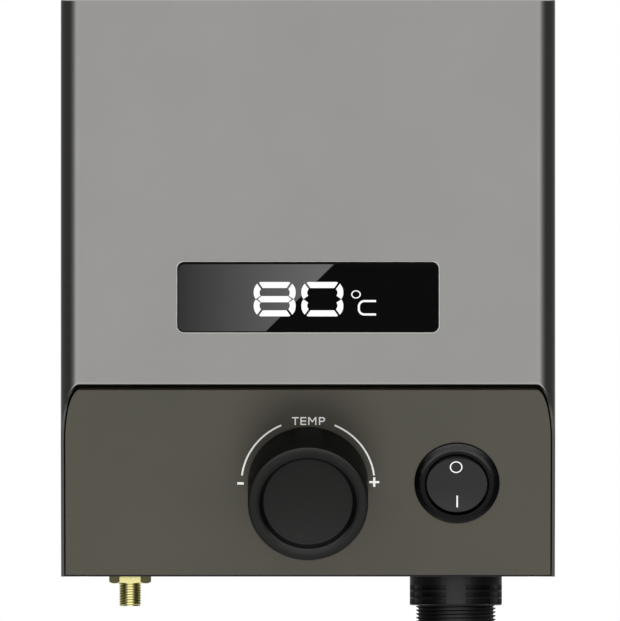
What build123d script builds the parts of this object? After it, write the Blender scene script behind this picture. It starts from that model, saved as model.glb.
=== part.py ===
from build123d import *
from math import cos, radians, sin, sqrt, tan
import os

os.makedirs("parts", exist_ok=True)

# Control head of a screw-in immersion water heater, with its heating rod.
# The origin is the centre of the tank thread's sealing plane. +Y runs along the rod into the tank,
# +Z is up, and the head's front looks along -Y.

# Head
head_width = 144.0
head_height = 168.5
head_depth = 96.0
axis_height = 84.0
wall = 2.0
corner_radius = 5.5
top_edge_radius = 1.0
overrun = 5.0
slip_gap = 0.1
seat_gap = 0.3

# Screw boss and tank seal
thread_radius = 23.9
thread_length = 26.0
thread_chamfer = 1.5
hex_across_flats = 64.0
hex_height = 13.0
seal_thickness = 2.5
seal_outer_radius = 30.0
spigot_radius = 23.0
spigot_reach = 13.0
boss_bore_radius = 20.4
end_plate_thickness = 10.0
relief_depth = 1.4

# Seat of the boss on the head
pad_radius = 37.0
pad_height = 1.5
washer_seal_thickness = 1.5
ring_nut_radius = 29.0
ring_nut_thickness = 7.0
ring_nut_slot_width = 6.0
ring_nut_slot_depth = 2.5
ring_nut_slots = 6

# Places along Y and Z that follow from the sizes above
pad_y = -(seal_thickness + hex_height)
rear_y = pad_y - pad_height
front_y = rear_y - head_depth
bottom_z = -axis_height
inner_half_width = head_width / 2 - wall
inner_depth = head_depth - wall

# Split between the cover and the rear housing
cover_depth = 60.0
housing_gasket_thickness = 1.0
housing_gasket_inset = 0.4
lip_length = 4.0
lip_thickness = 1.3

# Housing screws
post_radius = 4.0
post_bite = 0.6
sleeve_radius = 3.2
screw_radius = 2.0
screw_head_radius = 3.3
screw_head_height = 3.2
screw_sink = 3.8
screw_grip = 14.0
driver_radius = 1.4
driver_depth = 1.8
low_post_height = 66.0
high_post_height = 158.0

# Leaning control panel
chin_tilt = 18.8
seam_height = 55.9
control_height = 27.3
edge_strip = 0.87
pocket_top_inset = 0.15
panel_side_gap = 0.44
panel_top_gap = 1.6
panel_foot = 0.5
panel_thickness = 3.0
panel_gasket_thickness = 0.8
panel_gasket_width = 3.0
panel_flange_thickness = 2.0
panel_flange_drop = 7.0
panel_flange_reach = 6.0

# Bottom plate
plate_thickness = 2.0
plate_foot_gap = 0.4
foot_block_width = 9.0
foot_block_length = 10.0
foot_block_height = 8.0
front_block_depth = 26.0
base_screw_radius = 1.5
base_screw_head_radius = 2.8
base_screw_length = 8.0
connector_depth = 56.0

# Display
display_height = 81.4
window_width = 76.1
window_height = 20.5
window_radius = 2.0
window_thickness = 1.5
window_recess = 0.25
window_seal_thickness = 0.3
window_ledge = 3.0
pad_margin = 4.0
window_pad_thickness = 1.5
module_side_gap = 1.05
module_top_gap = 1.0
module_depth = 7.0
lens_depth = 0.8
digit_width = 12.4
digit_height = 9.9
digit_radius = 1.5
bar_width = 1.75
bar_gap = 0.3
tens_x = -9.7
units_x = 4.1
digit_drop = 0.6
degree_x = 13.9
degree_rise = 0.8
degree_radius = 1.35
degree_stroke = 0.5
unit_x = 17.1
unit_drop = 3.1
unit_width = 5.5
unit_height = 4.6
unit_stroke = 0.67
unit_radius = 1.6

# Boards in the front of the head
board_thickness = 1.6
board_post_side_gap = 4.95
board_post_top_gap = 4.75
board_post_radius = 3.0
board_screw_radius = 1.25
board_screw_head_radius = 2.4
board_screw_head_height = 1.6
board_screw_grip = 6.0
display_board_side = 5.0
display_board_top = 4.0
standoff_across_flats = 5.5
standoff_length = 14.0
control_board_side = 7.0
control_board_top = 16.0
chip_size = 10.0
chip_height = 1.2
plug_width = 16.0
plug_height = 6.0
plug_depth = 7.0
radio_inset = 19.0
radio_rise = -20.0
radio_width = 16.0
radio_height = 20.0
radio_depth = 3.2
radio_socket_radius = 1.5
radio_socket_height = 1.6

# Power electronics on the rear wall
power_top_gap = 3.5
power_side_gap = 8.0
power_board_height = 44.0
power_standoff_length = 18.4
power_post_inset = 5.0
power_post_radius = 3.0
spreader_side_inset = 12.0
spreader_top_inset = 5.0
spreader_thickness = 6.0
spreader_groove_width = 2.0
spreader_groove_depth = 2.0
spreader_grooves = 8
switch_pitch = 32.0
power_switch_width = 15.6
power_switch_height = 18.0
power_switch_thickness = 5.0
lead_width = 1.2
lead_thickness = 0.7
lead_pitch = 5.4
lead_drop = 3.0
relay_width = 20.0
relay_height = 24.0
relay_depth = 15.5
relay_inset = 18.0
relay_pitch = 22.0
capacitor_radius = 6.5
capacitor_length = 22.0
capacitor_gap = 5.0
capacitor_pitch = 16.0
capacitor_crimp = 0.6
transformer_inset = 16.0
transformer_width = 20.0
transformer_height = 18.0
transformer_depth = 16.0
coil_width = 13.0
coil_overhang = 3.0

# Terminal block, earth stud and thermal cut-out on the rear wall
block_inset = 28.0
block_height = 26.0
block_width = 36.0
block_rise = 18.0
block_depth = 17.0
block_step = 5.0
block_ways = 3
way_pitch = 9.5
way_screw_radius = 3.0
way_screw_depth = 3.0
earth_x = -14.0
earth_height = 22.0
earth_radius = 2.0
earth_length = 12.0
earth_nut_across_flats = 7.0
earth_nut_height = 3.0
cutout_side_gap = 7.0
cutout_width = 24.0
cutout_height = 34.0
cutout_depth = 22.0
cutout_button_radius = 4.0
cutout_button_height = 3.0
capillary_radius = 1.0
capillary_bend = 5.0
capillary_offset = 15.0
bulb_radius = 1.6
bulb_length = 60.0
bulb_offset = 1.8

# Heating rod
element_count = 3
element_radius = 4.1
leg_circle_radius = 15.4
rod_reach = 320.0
leg_tail = 4.0
insulator_radius = 3.2
insulator_length = 8.0
stud_radius = 2.0
stud_length = 22.0
well_radius = 4.5
well_bore_radius = 3.7
well_reach = 180.0
well_tip = 2.5
sensor_radius = 1.6
sensor_length = 30.0
sensor_lead_radius = 0.8
spacer_radius = 21.0
spacer_thickness = 2.0
spacer_notch_radius = 4.5
spacer_count = 2
spacer_first = 110.0
spacer_pitch = 110.0

# Knob and rotary encoder
knob_radius = 17.5
knob_height = 19.5
knob_lift = 0.7
knob_fillet = 1.3
knob_wall = 2.0
rim_radius = 14.6
dish_radius = 13.1
dish_depth = 2.7
dish_floor_thickness = 2.0
hub_radius = 5.2
shaft_radius = 3.0
shaft_gap = 0.05
shaft_flat = 1.5
shaft_end_gap = 0.5
insert_radius = 4.2
bush_radius = 3.5
bush_length = 6.0
encoder_width = 12.6
encoder_height = 13.4
encoder_depth = 7.0
encoder_pin_length = 3.5
encoder_pin_width = 0.9
encoder_nut_across_flats = 10.0
encoder_nut_height = 2.0
encoder_washer_radius = 5.6
encoder_washer_thickness = 0.6

# Round rocker switch
switch_inset = 28.6
bezel_radius = 12.45
bezel_rim_radius = 10.5
bezel_height = 1.6
bezel_edge = 0.4
rocker_bore_radius = 9.24
barrel_radius = 10.0
barrel_length = 15.0
barrel_floor = 2.5
ear_width = 5.0
ear_length = 6.0
ear_thickness = 0.8
rocker_radius = 9.0
pivot_depth = 0.6
rocker_rise = 2.14
rocker_dish_radius = 42.0
rocker_foot = 5.0
rocker_tilt = 6.5
trunnion_radius = 0.8
trunnion_length = 0.9
blade_width = 4.8
blade_thickness = 0.8
blade_length = 9.0
blade_pitch = 7.0
blade_hole_radius = 0.9

# Power inlet
inlet_inset = 28.7
inlet_thread_radius = 11.5
inlet_thread_reach = 24.0
inlet_chamfer = 0.6
inlet_relief = 0.3
inlet_bore_radius = 9.2
inlet_bore_depth = 19.0
inlet_flange_radius = 14.0
inlet_flange_thickness = 3.0
inlet_tail_radius = 10.8
inlet_tail_length = 6.0
inlet_tail_bore_radius = 8.4
inlet_seal_thickness = 0.8
grip_radius = 13.25
grip_height = 8.5
grip_chamfer = 0.3
pocket_rows = 3
pockets_in_quarter = 2
pocket_first = 2.56
pocket_row_pitch = 2.04
pocket_row_height = 1.35
pocket_depth = 1.0
pocket_start = 12.5
pocket_step = 38.3
pocket_arc = 35.4
insert_thickness = 7.0
pin_count = 3
pin_radius = 1.2
pin_circle_radius = 4.8
pin_reach = 9.0
pin_tail = 4.0

# Antenna socket
sma_inset = 19.9
sma_thread_radius = 3.175
sma_thread_reach = 8.74
sma_chamfer = 0.35
sma_relief = 0.2
sma_bore_radius = 2.3
sma_bore_depth = 7.0
sma_flange_radius = 4.6
sma_flange_thickness = 1.6
sma_tail_radius = 2.4
sma_tail_length = 5.0
sma_nut_across_flats = 10.65
sma_nut_height = 2.1
sma_nut_chamfer = 0.35
sma_seal_thickness = 0.7
sma_insulator_recess = 0.3
sma_contact_radius = 0.65
sma_socket_radius = 0.4
sma_socket_depth = 3.0

# Inner leads
coax_radius = 0.9
coax_bend = 7.0
coax_rise = 22.0
mains_lead_radius = 1.6
mains_lead_bend = 8.0
supply_lead_radius = 1.5
supply_lead_bend = 6.0
element_lead_radius = 1.4
element_lead_bend = 5.0

tilt_sin = sin(radians(chin_tilt))
tilt_cos = cos(radians(chin_tilt))
tilt_tan = tan(radians(chin_tilt))
seam_v = (seam_height - control_height) / tilt_cos
corner_v = seam_v - corner_radius / tilt_sin
foot_v = (panel_foot - control_height) / tilt_cos
connector_y = front_y + connector_depth
switch_x = head_width / 2 - switch_inset
inlet_x = head_width / 2 - inlet_inset
sma_x = -(head_width / 2 - sma_inset)

# Planes: the head's front, the leaning panel, and planes across the tank axis
front = Plane(origin=(0, front_y, bottom_z), x_dir=(1, 0, 0), z_dir=(0, -1, 0))
chin = Plane(
    origin=(0, front_y + (seam_height - control_height) * tilt_tan, bottom_z + control_height),
    x_dir=(1, 0, 0),
    z_dir=(0, -tilt_cos, -tilt_sin),
)
switch_face = Plane(
    origin=chin.origin + chin.x_dir * switch_x,
    x_dir=chin.x_dir,
    z_dir=chin.z_dir,
)


def behind(depth):
    """Plane parallel to the head's front, at a depth behind it, facing forward."""
    return front.offset(-depth)


def across(y):
    """Plane across the tank axis at a height along it; a negative extrusion runs into the tank."""
    return Plane.XZ.offset(-y)


def section(base):
    """Plane through a base plane's normal: local X is radial and local Y runs out along the normal."""
    return Plane(origin=base.origin, x_dir=base.x_dir, z_dir=base.x_dir.cross(base.z_dir))


def underside(x):
    """Plane under the bottom plate at a connector, facing down."""
    return Plane(origin=(x, connector_y, bottom_z), x_dir=(1, 0, 0), z_dir=(0, 0, -1))


def in_head(x, depth, height):
    """Point given by its place across, its depth behind the front and its height above the underside."""
    return Vector(x, front_y + depth, bottom_z + height)


def ring(outer, inner):
    """Flat ring in the sketch that is open."""
    Circle(outer)
    Circle(inner, mode=Mode.SUBTRACT)


def footprint(level, low_y, high_y, inset, rounded, radius):
    """Plan of a housing half with its two outer corners rounded."""
    with BuildSketch(Plane.XY.offset(level)) as plan:
        with Locations((0, (low_y + high_y) / 2)):
            Rectangle(head_width - 2 * inset, high_y - low_y)
        fillet(plan.vertices().group_by(Axis.Y)[rounded], radius)
    return plan.sketch


def chin_outline(level, side_inset, top_inset, foot):
    """Outline on the leaning panel, following the rounded edges of the head."""
    half = head_width / 2 - side_inset
    corner_u = head_width / 2 - corner_radius
    top = seam_v - top_inset
    with BuildSketch(chin.offset(level)) as outline:
        with BuildLine():
            Line((0, foot), (half, foot))
            Line((half, foot), (half, corner_v))
            EllipticalCenterArc((corner_u, corner_v), half - corner_u, top - corner_v, 0, arc_size=90)
            Line((corner_u, top), (0, top))
            mirror(about=Plane.YZ)
        make_face()
    return outline.sketch


def lead(points, bends, radius):
    """Round inner lead along straight runs joined by arcs, which the shortest run limits."""
    shortest = min((end - start).length for start, end in zip(points, points[1:]))
    with BuildLine() as run:
        FilletPolyline(*points, radius=min(bends, shortest / 3))
    route = run.wire()
    with BuildSketch(Plane(origin=route @ 0, z_dir=route % 0)) as end:
        Circle(radius)
    sweep(end.sketch, path=route)


def save(name, piece):
    """Label a finished piece and write it."""
    piece.part.label = name
    export_step(piece.part, f"parts/{name}.step")


# Front cover: a moulded shell with a leaning opening for the control panel
board_post_x = window_width / 2 + board_post_side_gap
board_post_rise = window_height / 2 + board_post_top_gap
housing_post_x = inner_half_width - post_radius + post_bite
post_places = [
    (side * housing_post_x, height) for side in (-1, 1) for height in (low_post_height, high_post_height)
]
board_stack_depth = wall + window_pad_thickness + module_depth
board_places = [
    (side * board_post_x, display_height + rise) for side in (-1, 1)
    for rise in (-board_post_rise, board_post_rise)
]
panel_pocket_depth = panel_thickness + panel_gasket_thickness
foot_block_x = inner_half_width - foot_block_width / 2
front_foot_y = front_y + front_block_depth
rear_foot_y = rear_y - wall - foot_block_length / 2

with BuildPart() as front_cover:
    extrude(footprint(bottom_z, front_y, front_y + cover_depth, 0, 0, corner_radius), amount=head_height)
    rim = front_cover.faces().sort_by(Axis.Z)[-1].edges().sort_by(Axis.Y)[:-1]
    fillet(rim, top_edge_radius)
    cavity = footprint(
        bottom_z - overrun, front_y + wall, front_y + cover_depth + overrun, wall, 0, corner_radius - wall
    )
    extrude(cavity, amount=head_height - wall + overrun, mode=Mode.SUBTRACT)
    # Pad and ledge round the display window
    with BuildSketch(behind(wall)):
        with Locations((0, display_height)):
            Rectangle(window_width + 2 * pad_margin, window_height + 2 * pad_margin)
    extrude(amount=-window_pad_thickness)
    # Posts for the housing screws and for the boards
    with BuildSketch(behind(wall)):
        with Locations(*post_places):
            Circle(post_radius)
    extrude(amount=-(cover_depth - wall - lip_length))
    with BuildSketch(behind(wall)):
        with Locations(*board_places):
            Circle(board_post_radius)
    extrude(amount=-(board_stack_depth - wall))
    # Flange behind the top of the control panel
    with BuildSketch(chin.offset(-panel_pocket_depth)):
        with Locations((0, seam_v + (panel_flange_reach - panel_flange_drop) / 2)):
            Rectangle(2 * inner_half_width, panel_flange_drop + panel_flange_reach)
    extrude(amount=-panel_flange_thickness)
    # Blocks that carry the bottom plate
    with BuildSketch(Plane.XY.offset(bottom_z + plate_thickness)):
        with Locations((-foot_block_x, front_foot_y), (foot_block_x, front_foot_y)):
            Rectangle(foot_block_width, foot_block_length)
    extrude(amount=foot_block_height)
    # Everything in front of the leaning panel goes, and the panel's pocket behind it
    with BuildSketch(chin):
        Rectangle(2 * head_width, 2 * head_height)
    extrude(amount=head_depth, mode=Mode.SUBTRACT)
    pocket = chin_outline(0, edge_strip, pocket_top_inset, foot_v - overrun)
    extrude(pocket, amount=-panel_pocket_depth, mode=Mode.SUBTRACT)
    # Display window: seat for the glass, and the opening behind it
    with BuildSketch(front):
        with Locations((0, display_height)):
            RectangleRounded(window_width, window_height, window_radius)
    extrude(amount=-(window_recess + window_thickness + window_seal_thickness), mode=Mode.SUBTRACT)
    with BuildSketch(front):
        with Locations((0, display_height)):
            Rectangle(window_width - 2 * window_ledge, window_height - 2 * window_ledge)
    extrude(amount=-(wall + window_pad_thickness), mode=Mode.SUBTRACT)
    # Pilot holes
    with BuildSketch(behind(cover_depth)):
        with Locations(*post_places):
            Circle(screw_radius + slip_gap)
    extrude(amount=lip_length + screw_grip, mode=Mode.SUBTRACT)
    with BuildSketch(behind(board_stack_depth)):
        with Locations(*board_places):
            Circle(board_screw_radius + slip_gap)
    extrude(amount=board_screw_grip, mode=Mode.SUBTRACT)
    with BuildSketch(Plane.XY.offset(bottom_z + plate_thickness)):
        with Locations((-foot_block_x, front_foot_y), (foot_block_x, front_foot_y)):
            Circle(base_screw_radius + slip_gap)
    extrude(amount=base_screw_length - plate_thickness, mode=Mode.SUBTRACT)
save("front_cover", front_cover)

# Rear housing: a tray with a lip into the cover, screw sleeves and the boss opening
rim_depth = cover_depth + housing_gasket_thickness
sleeve_front = cover_depth - lip_length
lip_half = inner_half_width - slip_gap
lip_top = head_height - wall - slip_gap


def lip_ring(outer_half, outer_top):
    """Upside-down U of the lip, open at the bottom."""
    inner_half = lip_half - lip_thickness
    inner_top = lip_top - lip_thickness
    with Locations((0, outer_top / 2)):
        Rectangle(2 * outer_half, outer_top)
    with Locations((0, inner_top / 2)):
        Rectangle(2 * inner_half, inner_top, mode=Mode.SUBTRACT)
    with Locations((0, 0)):
        Rectangle(2 * head_width, 2 * (plate_thickness + seat_gap), mode=Mode.SUBTRACT)


with BuildPart() as rear_housing:
    extrude(footprint(bottom_z, front_y + rim_depth, rear_y, 0, -1, corner_radius), amount=head_height)
    rim = rear_housing.faces().sort_by(Axis.Z)[-1].edges().sort_by(Axis.Y)[1:]
    fillet(rim, top_edge_radius)
    cavity = footprint(
        bottom_z - overrun, front_y + rim_depth - overrun, rear_y - wall, wall, -1, corner_radius - wall
    )
    extrude(cavity, amount=head_height - wall + overrun, mode=Mode.SUBTRACT)
    with BuildSketch(behind(rim_depth)):
        lip_ring(inner_half_width + wall / 2, head_height - wall / 2)
    extrude(amount=-lip_length)
    with BuildSketch(behind(rim_depth)):
        lip_ring(lip_half, lip_top)
    extrude(amount=lip_length + housing_gasket_thickness)
    with BuildSketch(behind(inner_depth)):
        with Locations(*post_places):
            Circle(sleeve_radius)
    extrude(amount=inner_depth - sleeve_front)
    with BuildSketch(Plane.XY.offset(bottom_z + plate_thickness)):
        with Locations((-foot_block_x, rear_foot_y), (foot_block_x, rear_foot_y)):
            Rectangle(foot_block_width, foot_block_length)
    extrude(amount=foot_block_height)
    with BuildSketch(across(rear_y)):
        Circle(pad_radius)
    extrude(amount=-pad_height)
    with BuildSketch(across(rear_y - wall)):
        Circle(spigot_radius + slip_gap)
    extrude(amount=-(wall + pad_height), mode=Mode.SUBTRACT)
    # Holes and sinks for the housing screws
    with BuildSketch(behind(sleeve_front)):
        with Locations(*post_places):
            Circle(screw_radius + slip_gap)
    extrude(amount=-(head_depth - sleeve_front), mode=Mode.SUBTRACT)
    with BuildSketch(behind(head_depth)):
        with Locations(*post_places):
            Circle(screw_head_radius + slip_gap)
    extrude(amount=screw_sink, mode=Mode.SUBTRACT)
    with BuildSketch(Plane.XY.offset(bottom_z + plate_thickness)):
        with Locations((-foot_block_x, rear_foot_y), (foot_block_x, rear_foot_y)):
            Circle(base_screw_radius + slip_gap)
    extrude(amount=base_screw_length - plate_thickness, mode=Mode.SUBTRACT)
save("rear_housing", rear_housing)

# Gasket between the two housings
with BuildPart() as housing_gasket:
    gasket_half = head_width / 2 - housing_gasket_inset
    gasket_top = head_height - housing_gasket_inset
    with BuildSketch(behind(cover_depth)) as loop:
        with Locations((0, gasket_top / 2)):
            Rectangle(2 * gasket_half, gasket_top)
        fillet(loop.vertices().group_by(Axis.Y)[-1], top_edge_radius)
        with Locations((0, (head_height - wall) / 2)):
            Rectangle(2 * inner_half_width, head_height - wall, mode=Mode.SUBTRACT)
    extrude(amount=-housing_gasket_thickness)
save("housing_gasket", housing_gasket)

# Housing screws, from the back through the sleeves into the cover's posts
screw_seat = head_depth - screw_sink
with BuildPart() as housing_screws:
    with BuildSketch(behind(screw_seat)):
        with Locations(*post_places):
            Circle(screw_head_radius)
    extrude(amount=-screw_head_height)
    with BuildSketch(behind(screw_seat)):
        with Locations(*post_places):
            Circle(screw_radius)
    extrude(amount=screw_seat - sleeve_front + screw_grip)
    with BuildSketch(behind(screw_seat + screw_head_height)):
        with Locations(*post_places):
            RegularPolygon(driver_radius, 6)
    extrude(amount=driver_depth, mode=Mode.SUBTRACT)
save("housing_screws", housing_screws)

# Bottom plate with the two connector holes
base_screw_places = [
    (side * foot_block_x, y) for side in (-1, 1) for y in (front_foot_y, rear_foot_y)
]
with BuildPart() as bottom_plate:
    plate = footprint(bottom_z, front_y, rear_y - wall - slip_gap, wall + slip_gap, -1, corner_radius - wall)
    extrude(plate, amount=plate_thickness)
    with BuildSketch(chin.offset(-(panel_pocket_depth + plate_foot_gap))):
        Rectangle(2 * head_width, 2 * head_height)
    extrude(amount=head_depth, mode=Mode.SUBTRACT)
    with BuildSketch(Plane.XY.offset(bottom_z)):
        with Locations((inlet_x, connector_y)):
            Circle(inlet_thread_radius + slip_gap)
        with Locations((sma_x, connector_y)):
            Circle(sma_thread_radius + slip_gap)
    extrude(amount=plate_thickness, mode=Mode.SUBTRACT)
    with Locations(*[Location((x, y, bottom_z), (180, 0, 0)) for x, y in base_screw_places]):
        CounterSinkHole(
            base_screw_radius + slip_gap, base_screw_head_radius + slip_gap, depth=plate_thickness
        )
save("bottom_plate", bottom_plate)

# Countersunk screws of the bottom plate
with BuildPart() as base_screws:
    for x, y in base_screw_places:
        with BuildSketch(Plane(origin=(x, y, bottom_z), x_dir=(1, 0, 0), z_dir=(0, -1, 0))):
            with BuildLine():
                Polyline(
                    (0, slip_gap),
                    (base_screw_head_radius - slip_gap, slip_gap),
                    (base_screw_radius, base_screw_head_radius - base_screw_radius),
                    (base_screw_radius, base_screw_length - seat_gap),
                    (0, base_screw_length - seat_gap),
                    close=True,
                )
            make_face()
        revolve(axis=Axis((x, y, bottom_z), (0, 0, 1)))
save("base_screws", base_screws)

# Control panel with its knob bush and switch holes
with BuildPart() as control_panel:
    extrude(chin_outline(0, edge_strip + panel_side_gap, panel_top_gap, foot_v), amount=-panel_thickness)
    with BuildSketch(chin):
        Circle(bush_radius + slip_gap)
        with Locations((switch_x, 0)):
            Circle(barrel_radius + slip_gap)
    extrude(amount=-panel_thickness, mode=Mode.SUBTRACT)
save("control_panel", control_panel)

# Foam gasket between the panel and the ledge of the cover
with BuildPart() as panel_gasket:
    border = chin_outline(-panel_thickness, edge_strip + panel_side_gap, panel_top_gap, foot_v)
    extrude(border, amount=-panel_gasket_thickness)
    hollow = chin_outline(
        -panel_thickness,
        edge_strip + panel_side_gap + panel_gasket_width,
        panel_top_gap + panel_gasket_width,
        foot_v + panel_gasket_width,
    )
    extrude(hollow, amount=-panel_gasket_thickness, mode=Mode.SUBTRACT)
save("panel_gasket", panel_gasket)

# Display window, its seal and the lit module behind it
glass_width = window_width - 2 * slip_gap
glass_height = window_height - 2 * slip_gap
glass_radius = window_radius - slip_gap
with BuildPart() as display_window:
    with BuildSketch(behind(window_recess)):
        with Locations((0, display_height)):
            RectangleRounded(glass_width, glass_height, glass_radius)
    extrude(amount=-window_thickness)
save("display_window", display_window)

with BuildPart() as display_seal:
    with BuildSketch(behind(window_recess + window_thickness)):
        with Locations((0, display_height)):
            RectangleRounded(glass_width, glass_height, glass_radius)
            Rectangle(
                window_width - 2 * window_ledge, window_height - 2 * window_ledge, mode=Mode.SUBTRACT
            )
    extrude(amount=-window_seal_thickness)
save("display_seal", display_seal)


def digit_bars(x):
    """Seven bars of one digit, parted by thin slanting gaps."""
    bar_height = (digit_height - 3 * bar_width) / 2
    middle = display_height - digit_drop
    with Locations((x, middle)):
        RectangleRounded(digit_width, digit_height, digit_radius)
    hole_rise = (bar_height + bar_width) / 2
    with Locations((x, middle + hole_rise), (x, middle - hole_rise)):
        Rectangle(digit_width - 2 * bar_width, bar_height, mode=Mode.SUBTRACT)
    corner_u = (digit_width - bar_width) / 2
    corner_w = (digit_height - bar_width) / 2
    for u in (-corner_u, corner_u):
        for w in (-corner_w, corner_w):
            turn = 45 if u * w > 0 else -45
            with Locations((x + u, middle + w)):
                Rectangle(2 * bar_width, bar_gap, rotation=turn, mode=Mode.SUBTRACT)
        for w in (-bar_width / 2, bar_width / 2):
            turn = -45 if u * w > 0 else 45
            with Locations((x + u, middle + w)):
                Rectangle(sqrt(2) * bar_width, bar_gap, rotation=turn, mode=Mode.SUBTRACT)


def lit_marks():
    """Both digits, the degree ring and the unit, as they show in the window."""
    digit_bars(tens_x)
    digit_bars(units_x)
    with Locations((degree_x, display_height + degree_rise)):
        ring(degree_radius, degree_radius - degree_stroke)
    with Locations((unit_x, display_height - unit_drop)):
        RectangleRounded(unit_width, unit_height, unit_radius)
        Rectangle(unit_width - 2 * unit_stroke, unit_height - 2 * unit_stroke, mode=Mode.SUBTRACT)
    with Locations((unit_x + unit_width / 2, display_height - unit_drop)):
        Rectangle(3 * unit_stroke, unit_height - 2 * unit_stroke, mode=Mode.SUBTRACT)


module_front = wall + window_pad_thickness
module_width = window_width - 2 * module_side_gap
module_height = window_height - 2 * module_top_gap
with BuildPart() as display_module:
    with BuildSketch(behind(module_front)):
        with Locations((0, display_height)):
            Rectangle(module_width, module_height)
    extrude(amount=-module_depth)
    with BuildSketch(behind(module_front)):
        lit_marks()
    extrude(amount=-lens_depth, mode=Mode.SUBTRACT)
save("display_module", display_module)

with BuildPart() as segment_lenses:
    with BuildSketch(behind(module_front)):
        lit_marks()
    extrude(amount=-lens_depth)
save("segment_lenses", segment_lenses)

# Display board, standoffs and control board
display_board_back = board_stack_depth + board_thickness
display_board_width = 2 * (board_post_x + display_board_side)
display_board_height = 2 * (board_post_rise + display_board_top)
control_board_width = 2 * (board_post_x + control_board_side)
control_board_height = 2 * (board_post_rise + control_board_top)
radio_x = radio_inset - control_board_width / 2
control_board_front = display_board_back + standoff_length
control_board_back = control_board_front + board_thickness

with BuildPart() as display_board:
    with BuildSketch(behind(board_stack_depth)):
        with Locations((0, display_height)):
            Rectangle(display_board_width, display_board_height)
        with Locations(*board_places):
            Circle(board_screw_radius + slip_gap, mode=Mode.SUBTRACT)
    extrude(amount=-board_thickness)
save("display_board", display_board)

with BuildPart() as board_standoffs:
    with BuildSketch(behind(display_board_back)):
        with Locations(*board_places):
            RegularPolygon(standoff_across_flats / 2, 6, major_radius=False)
    extrude(amount=-standoff_length)
    with BuildSketch(behind(display_board_back)):
        with Locations(*board_places):
            Circle(board_screw_radius)
    extrude(amount=board_thickness + board_screw_grip - seat_gap)
    with BuildSketch(behind(control_board_front)):
        with Locations(*board_places):
            Circle(board_screw_radius + slip_gap)
    extrude(amount=board_screw_grip, mode=Mode.SUBTRACT)
save("board_standoffs", board_standoffs)

with BuildPart() as control_board:
    with BuildSketch(behind(control_board_front)):
        with Locations((0, display_height)):
            Rectangle(control_board_width, control_board_height)
        with Locations(*board_places):
            Circle(board_screw_radius + slip_gap, mode=Mode.SUBTRACT)
    extrude(amount=-board_thickness)
    with BuildSketch(behind(control_board_back)):
        with GridLocations(2 * chip_size, 2 * chip_size, 2, 1):
            with Locations((0, display_height)):
                Rectangle(chip_size, chip_size)
    extrude(amount=-chip_height)
    with BuildSketch(behind(control_board_back)):
        with Locations((control_board_width / 4, display_height - control_board_height / 3)):
            Rectangle(plug_width, plug_height)
    extrude(amount=-plug_depth)
save("control_board", control_board)

with BuildPart() as board_screws:
    with BuildSketch(behind(control_board_back)):
        with Locations(*board_places):
            Circle(board_screw_head_radius)
    extrude(amount=-board_screw_head_height)
    with BuildSketch(behind(control_board_back)):
        with Locations(*board_places):
            Circle(board_screw_radius)
    extrude(amount=board_thickness + board_screw_grip - seat_gap)
save("board_screws", board_screws)

radio_back = control_board_back + radio_depth
with BuildPart() as radio_module:
    with BuildSketch(behind(control_board_back)):
        with Locations((radio_x, display_height + radio_rise)):
            Rectangle(radio_width, radio_height)
    extrude(amount=-radio_depth)
    with BuildSketch(behind(radio_back)):
        with Locations((radio_x, display_height + radio_rise)):
            Circle(radio_socket_radius)
    extrude(amount=-radio_socket_height)
save("radio_module", radio_module)

# Power electronics
power_board_back = inner_depth - power_standoff_length
power_board_depth = power_board_back - board_thickness
power_height = head_height - wall - power_top_gap - power_board_height / 2
power_board_width = 2 * (inner_half_width - power_side_gap)
power_post_x = power_board_width / 2 - power_post_inset
power_post_rise = power_board_height / 2 - power_post_inset
spreader_width = power_board_width - 2 * spreader_side_inset
spreader_height = power_board_height - 2 * spreader_top_inset
spreader_front = inner_depth - spreader_thickness
power_post_places = [
    (side * power_post_x, power_height + rise) for side in (-1, 1)
    for rise in (-power_post_rise, power_post_rise)
]
power_switch_front = spreader_front - power_switch_thickness
power_switch_low = power_height - power_switch_height / 2

with BuildPart() as power_board:
    with BuildSketch(behind(power_board_depth)):
        with Locations((0, power_height)):
            Rectangle(power_board_width, power_board_height)
        with Locations(*power_post_places):
            Circle(board_screw_radius + slip_gap, mode=Mode.SUBTRACT)
    extrude(amount=-board_thickness)
save("power_board", power_board)

with BuildPart() as power_standoffs:
    with BuildSketch(behind(power_board_back)):
        with Locations(*power_post_places):
            Circle(power_post_radius)
    extrude(amount=-power_standoff_length)
    with BuildSketch(behind(power_board_back)):
        with Locations(*power_post_places):
            Circle(board_screw_radius)
    extrude(amount=board_thickness)
    with BuildSketch(behind(power_board_depth)):
        with Locations(*power_post_places):
            Circle(board_screw_head_radius)
    extrude(amount=board_screw_head_height)
save("power_standoffs", power_standoffs)

with BuildPart() as heat_spreader:
    with BuildSketch(behind(spreader_front)):
        with Locations((0, power_height)):
            Rectangle(spreader_width, spreader_height)
    extrude(amount=-spreader_thickness)
    with BuildSketch(behind(inner_depth)):
        with Locations((0, power_height)):
            with GridLocations(spreader_width / spreader_grooves, spreader_height, spreader_grooves, 1):
                Rectangle(spreader_groove_width, spreader_height)
    extrude(amount=spreader_groove_depth, mode=Mode.SUBTRACT)
save("heat_spreader", heat_spreader)

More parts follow.
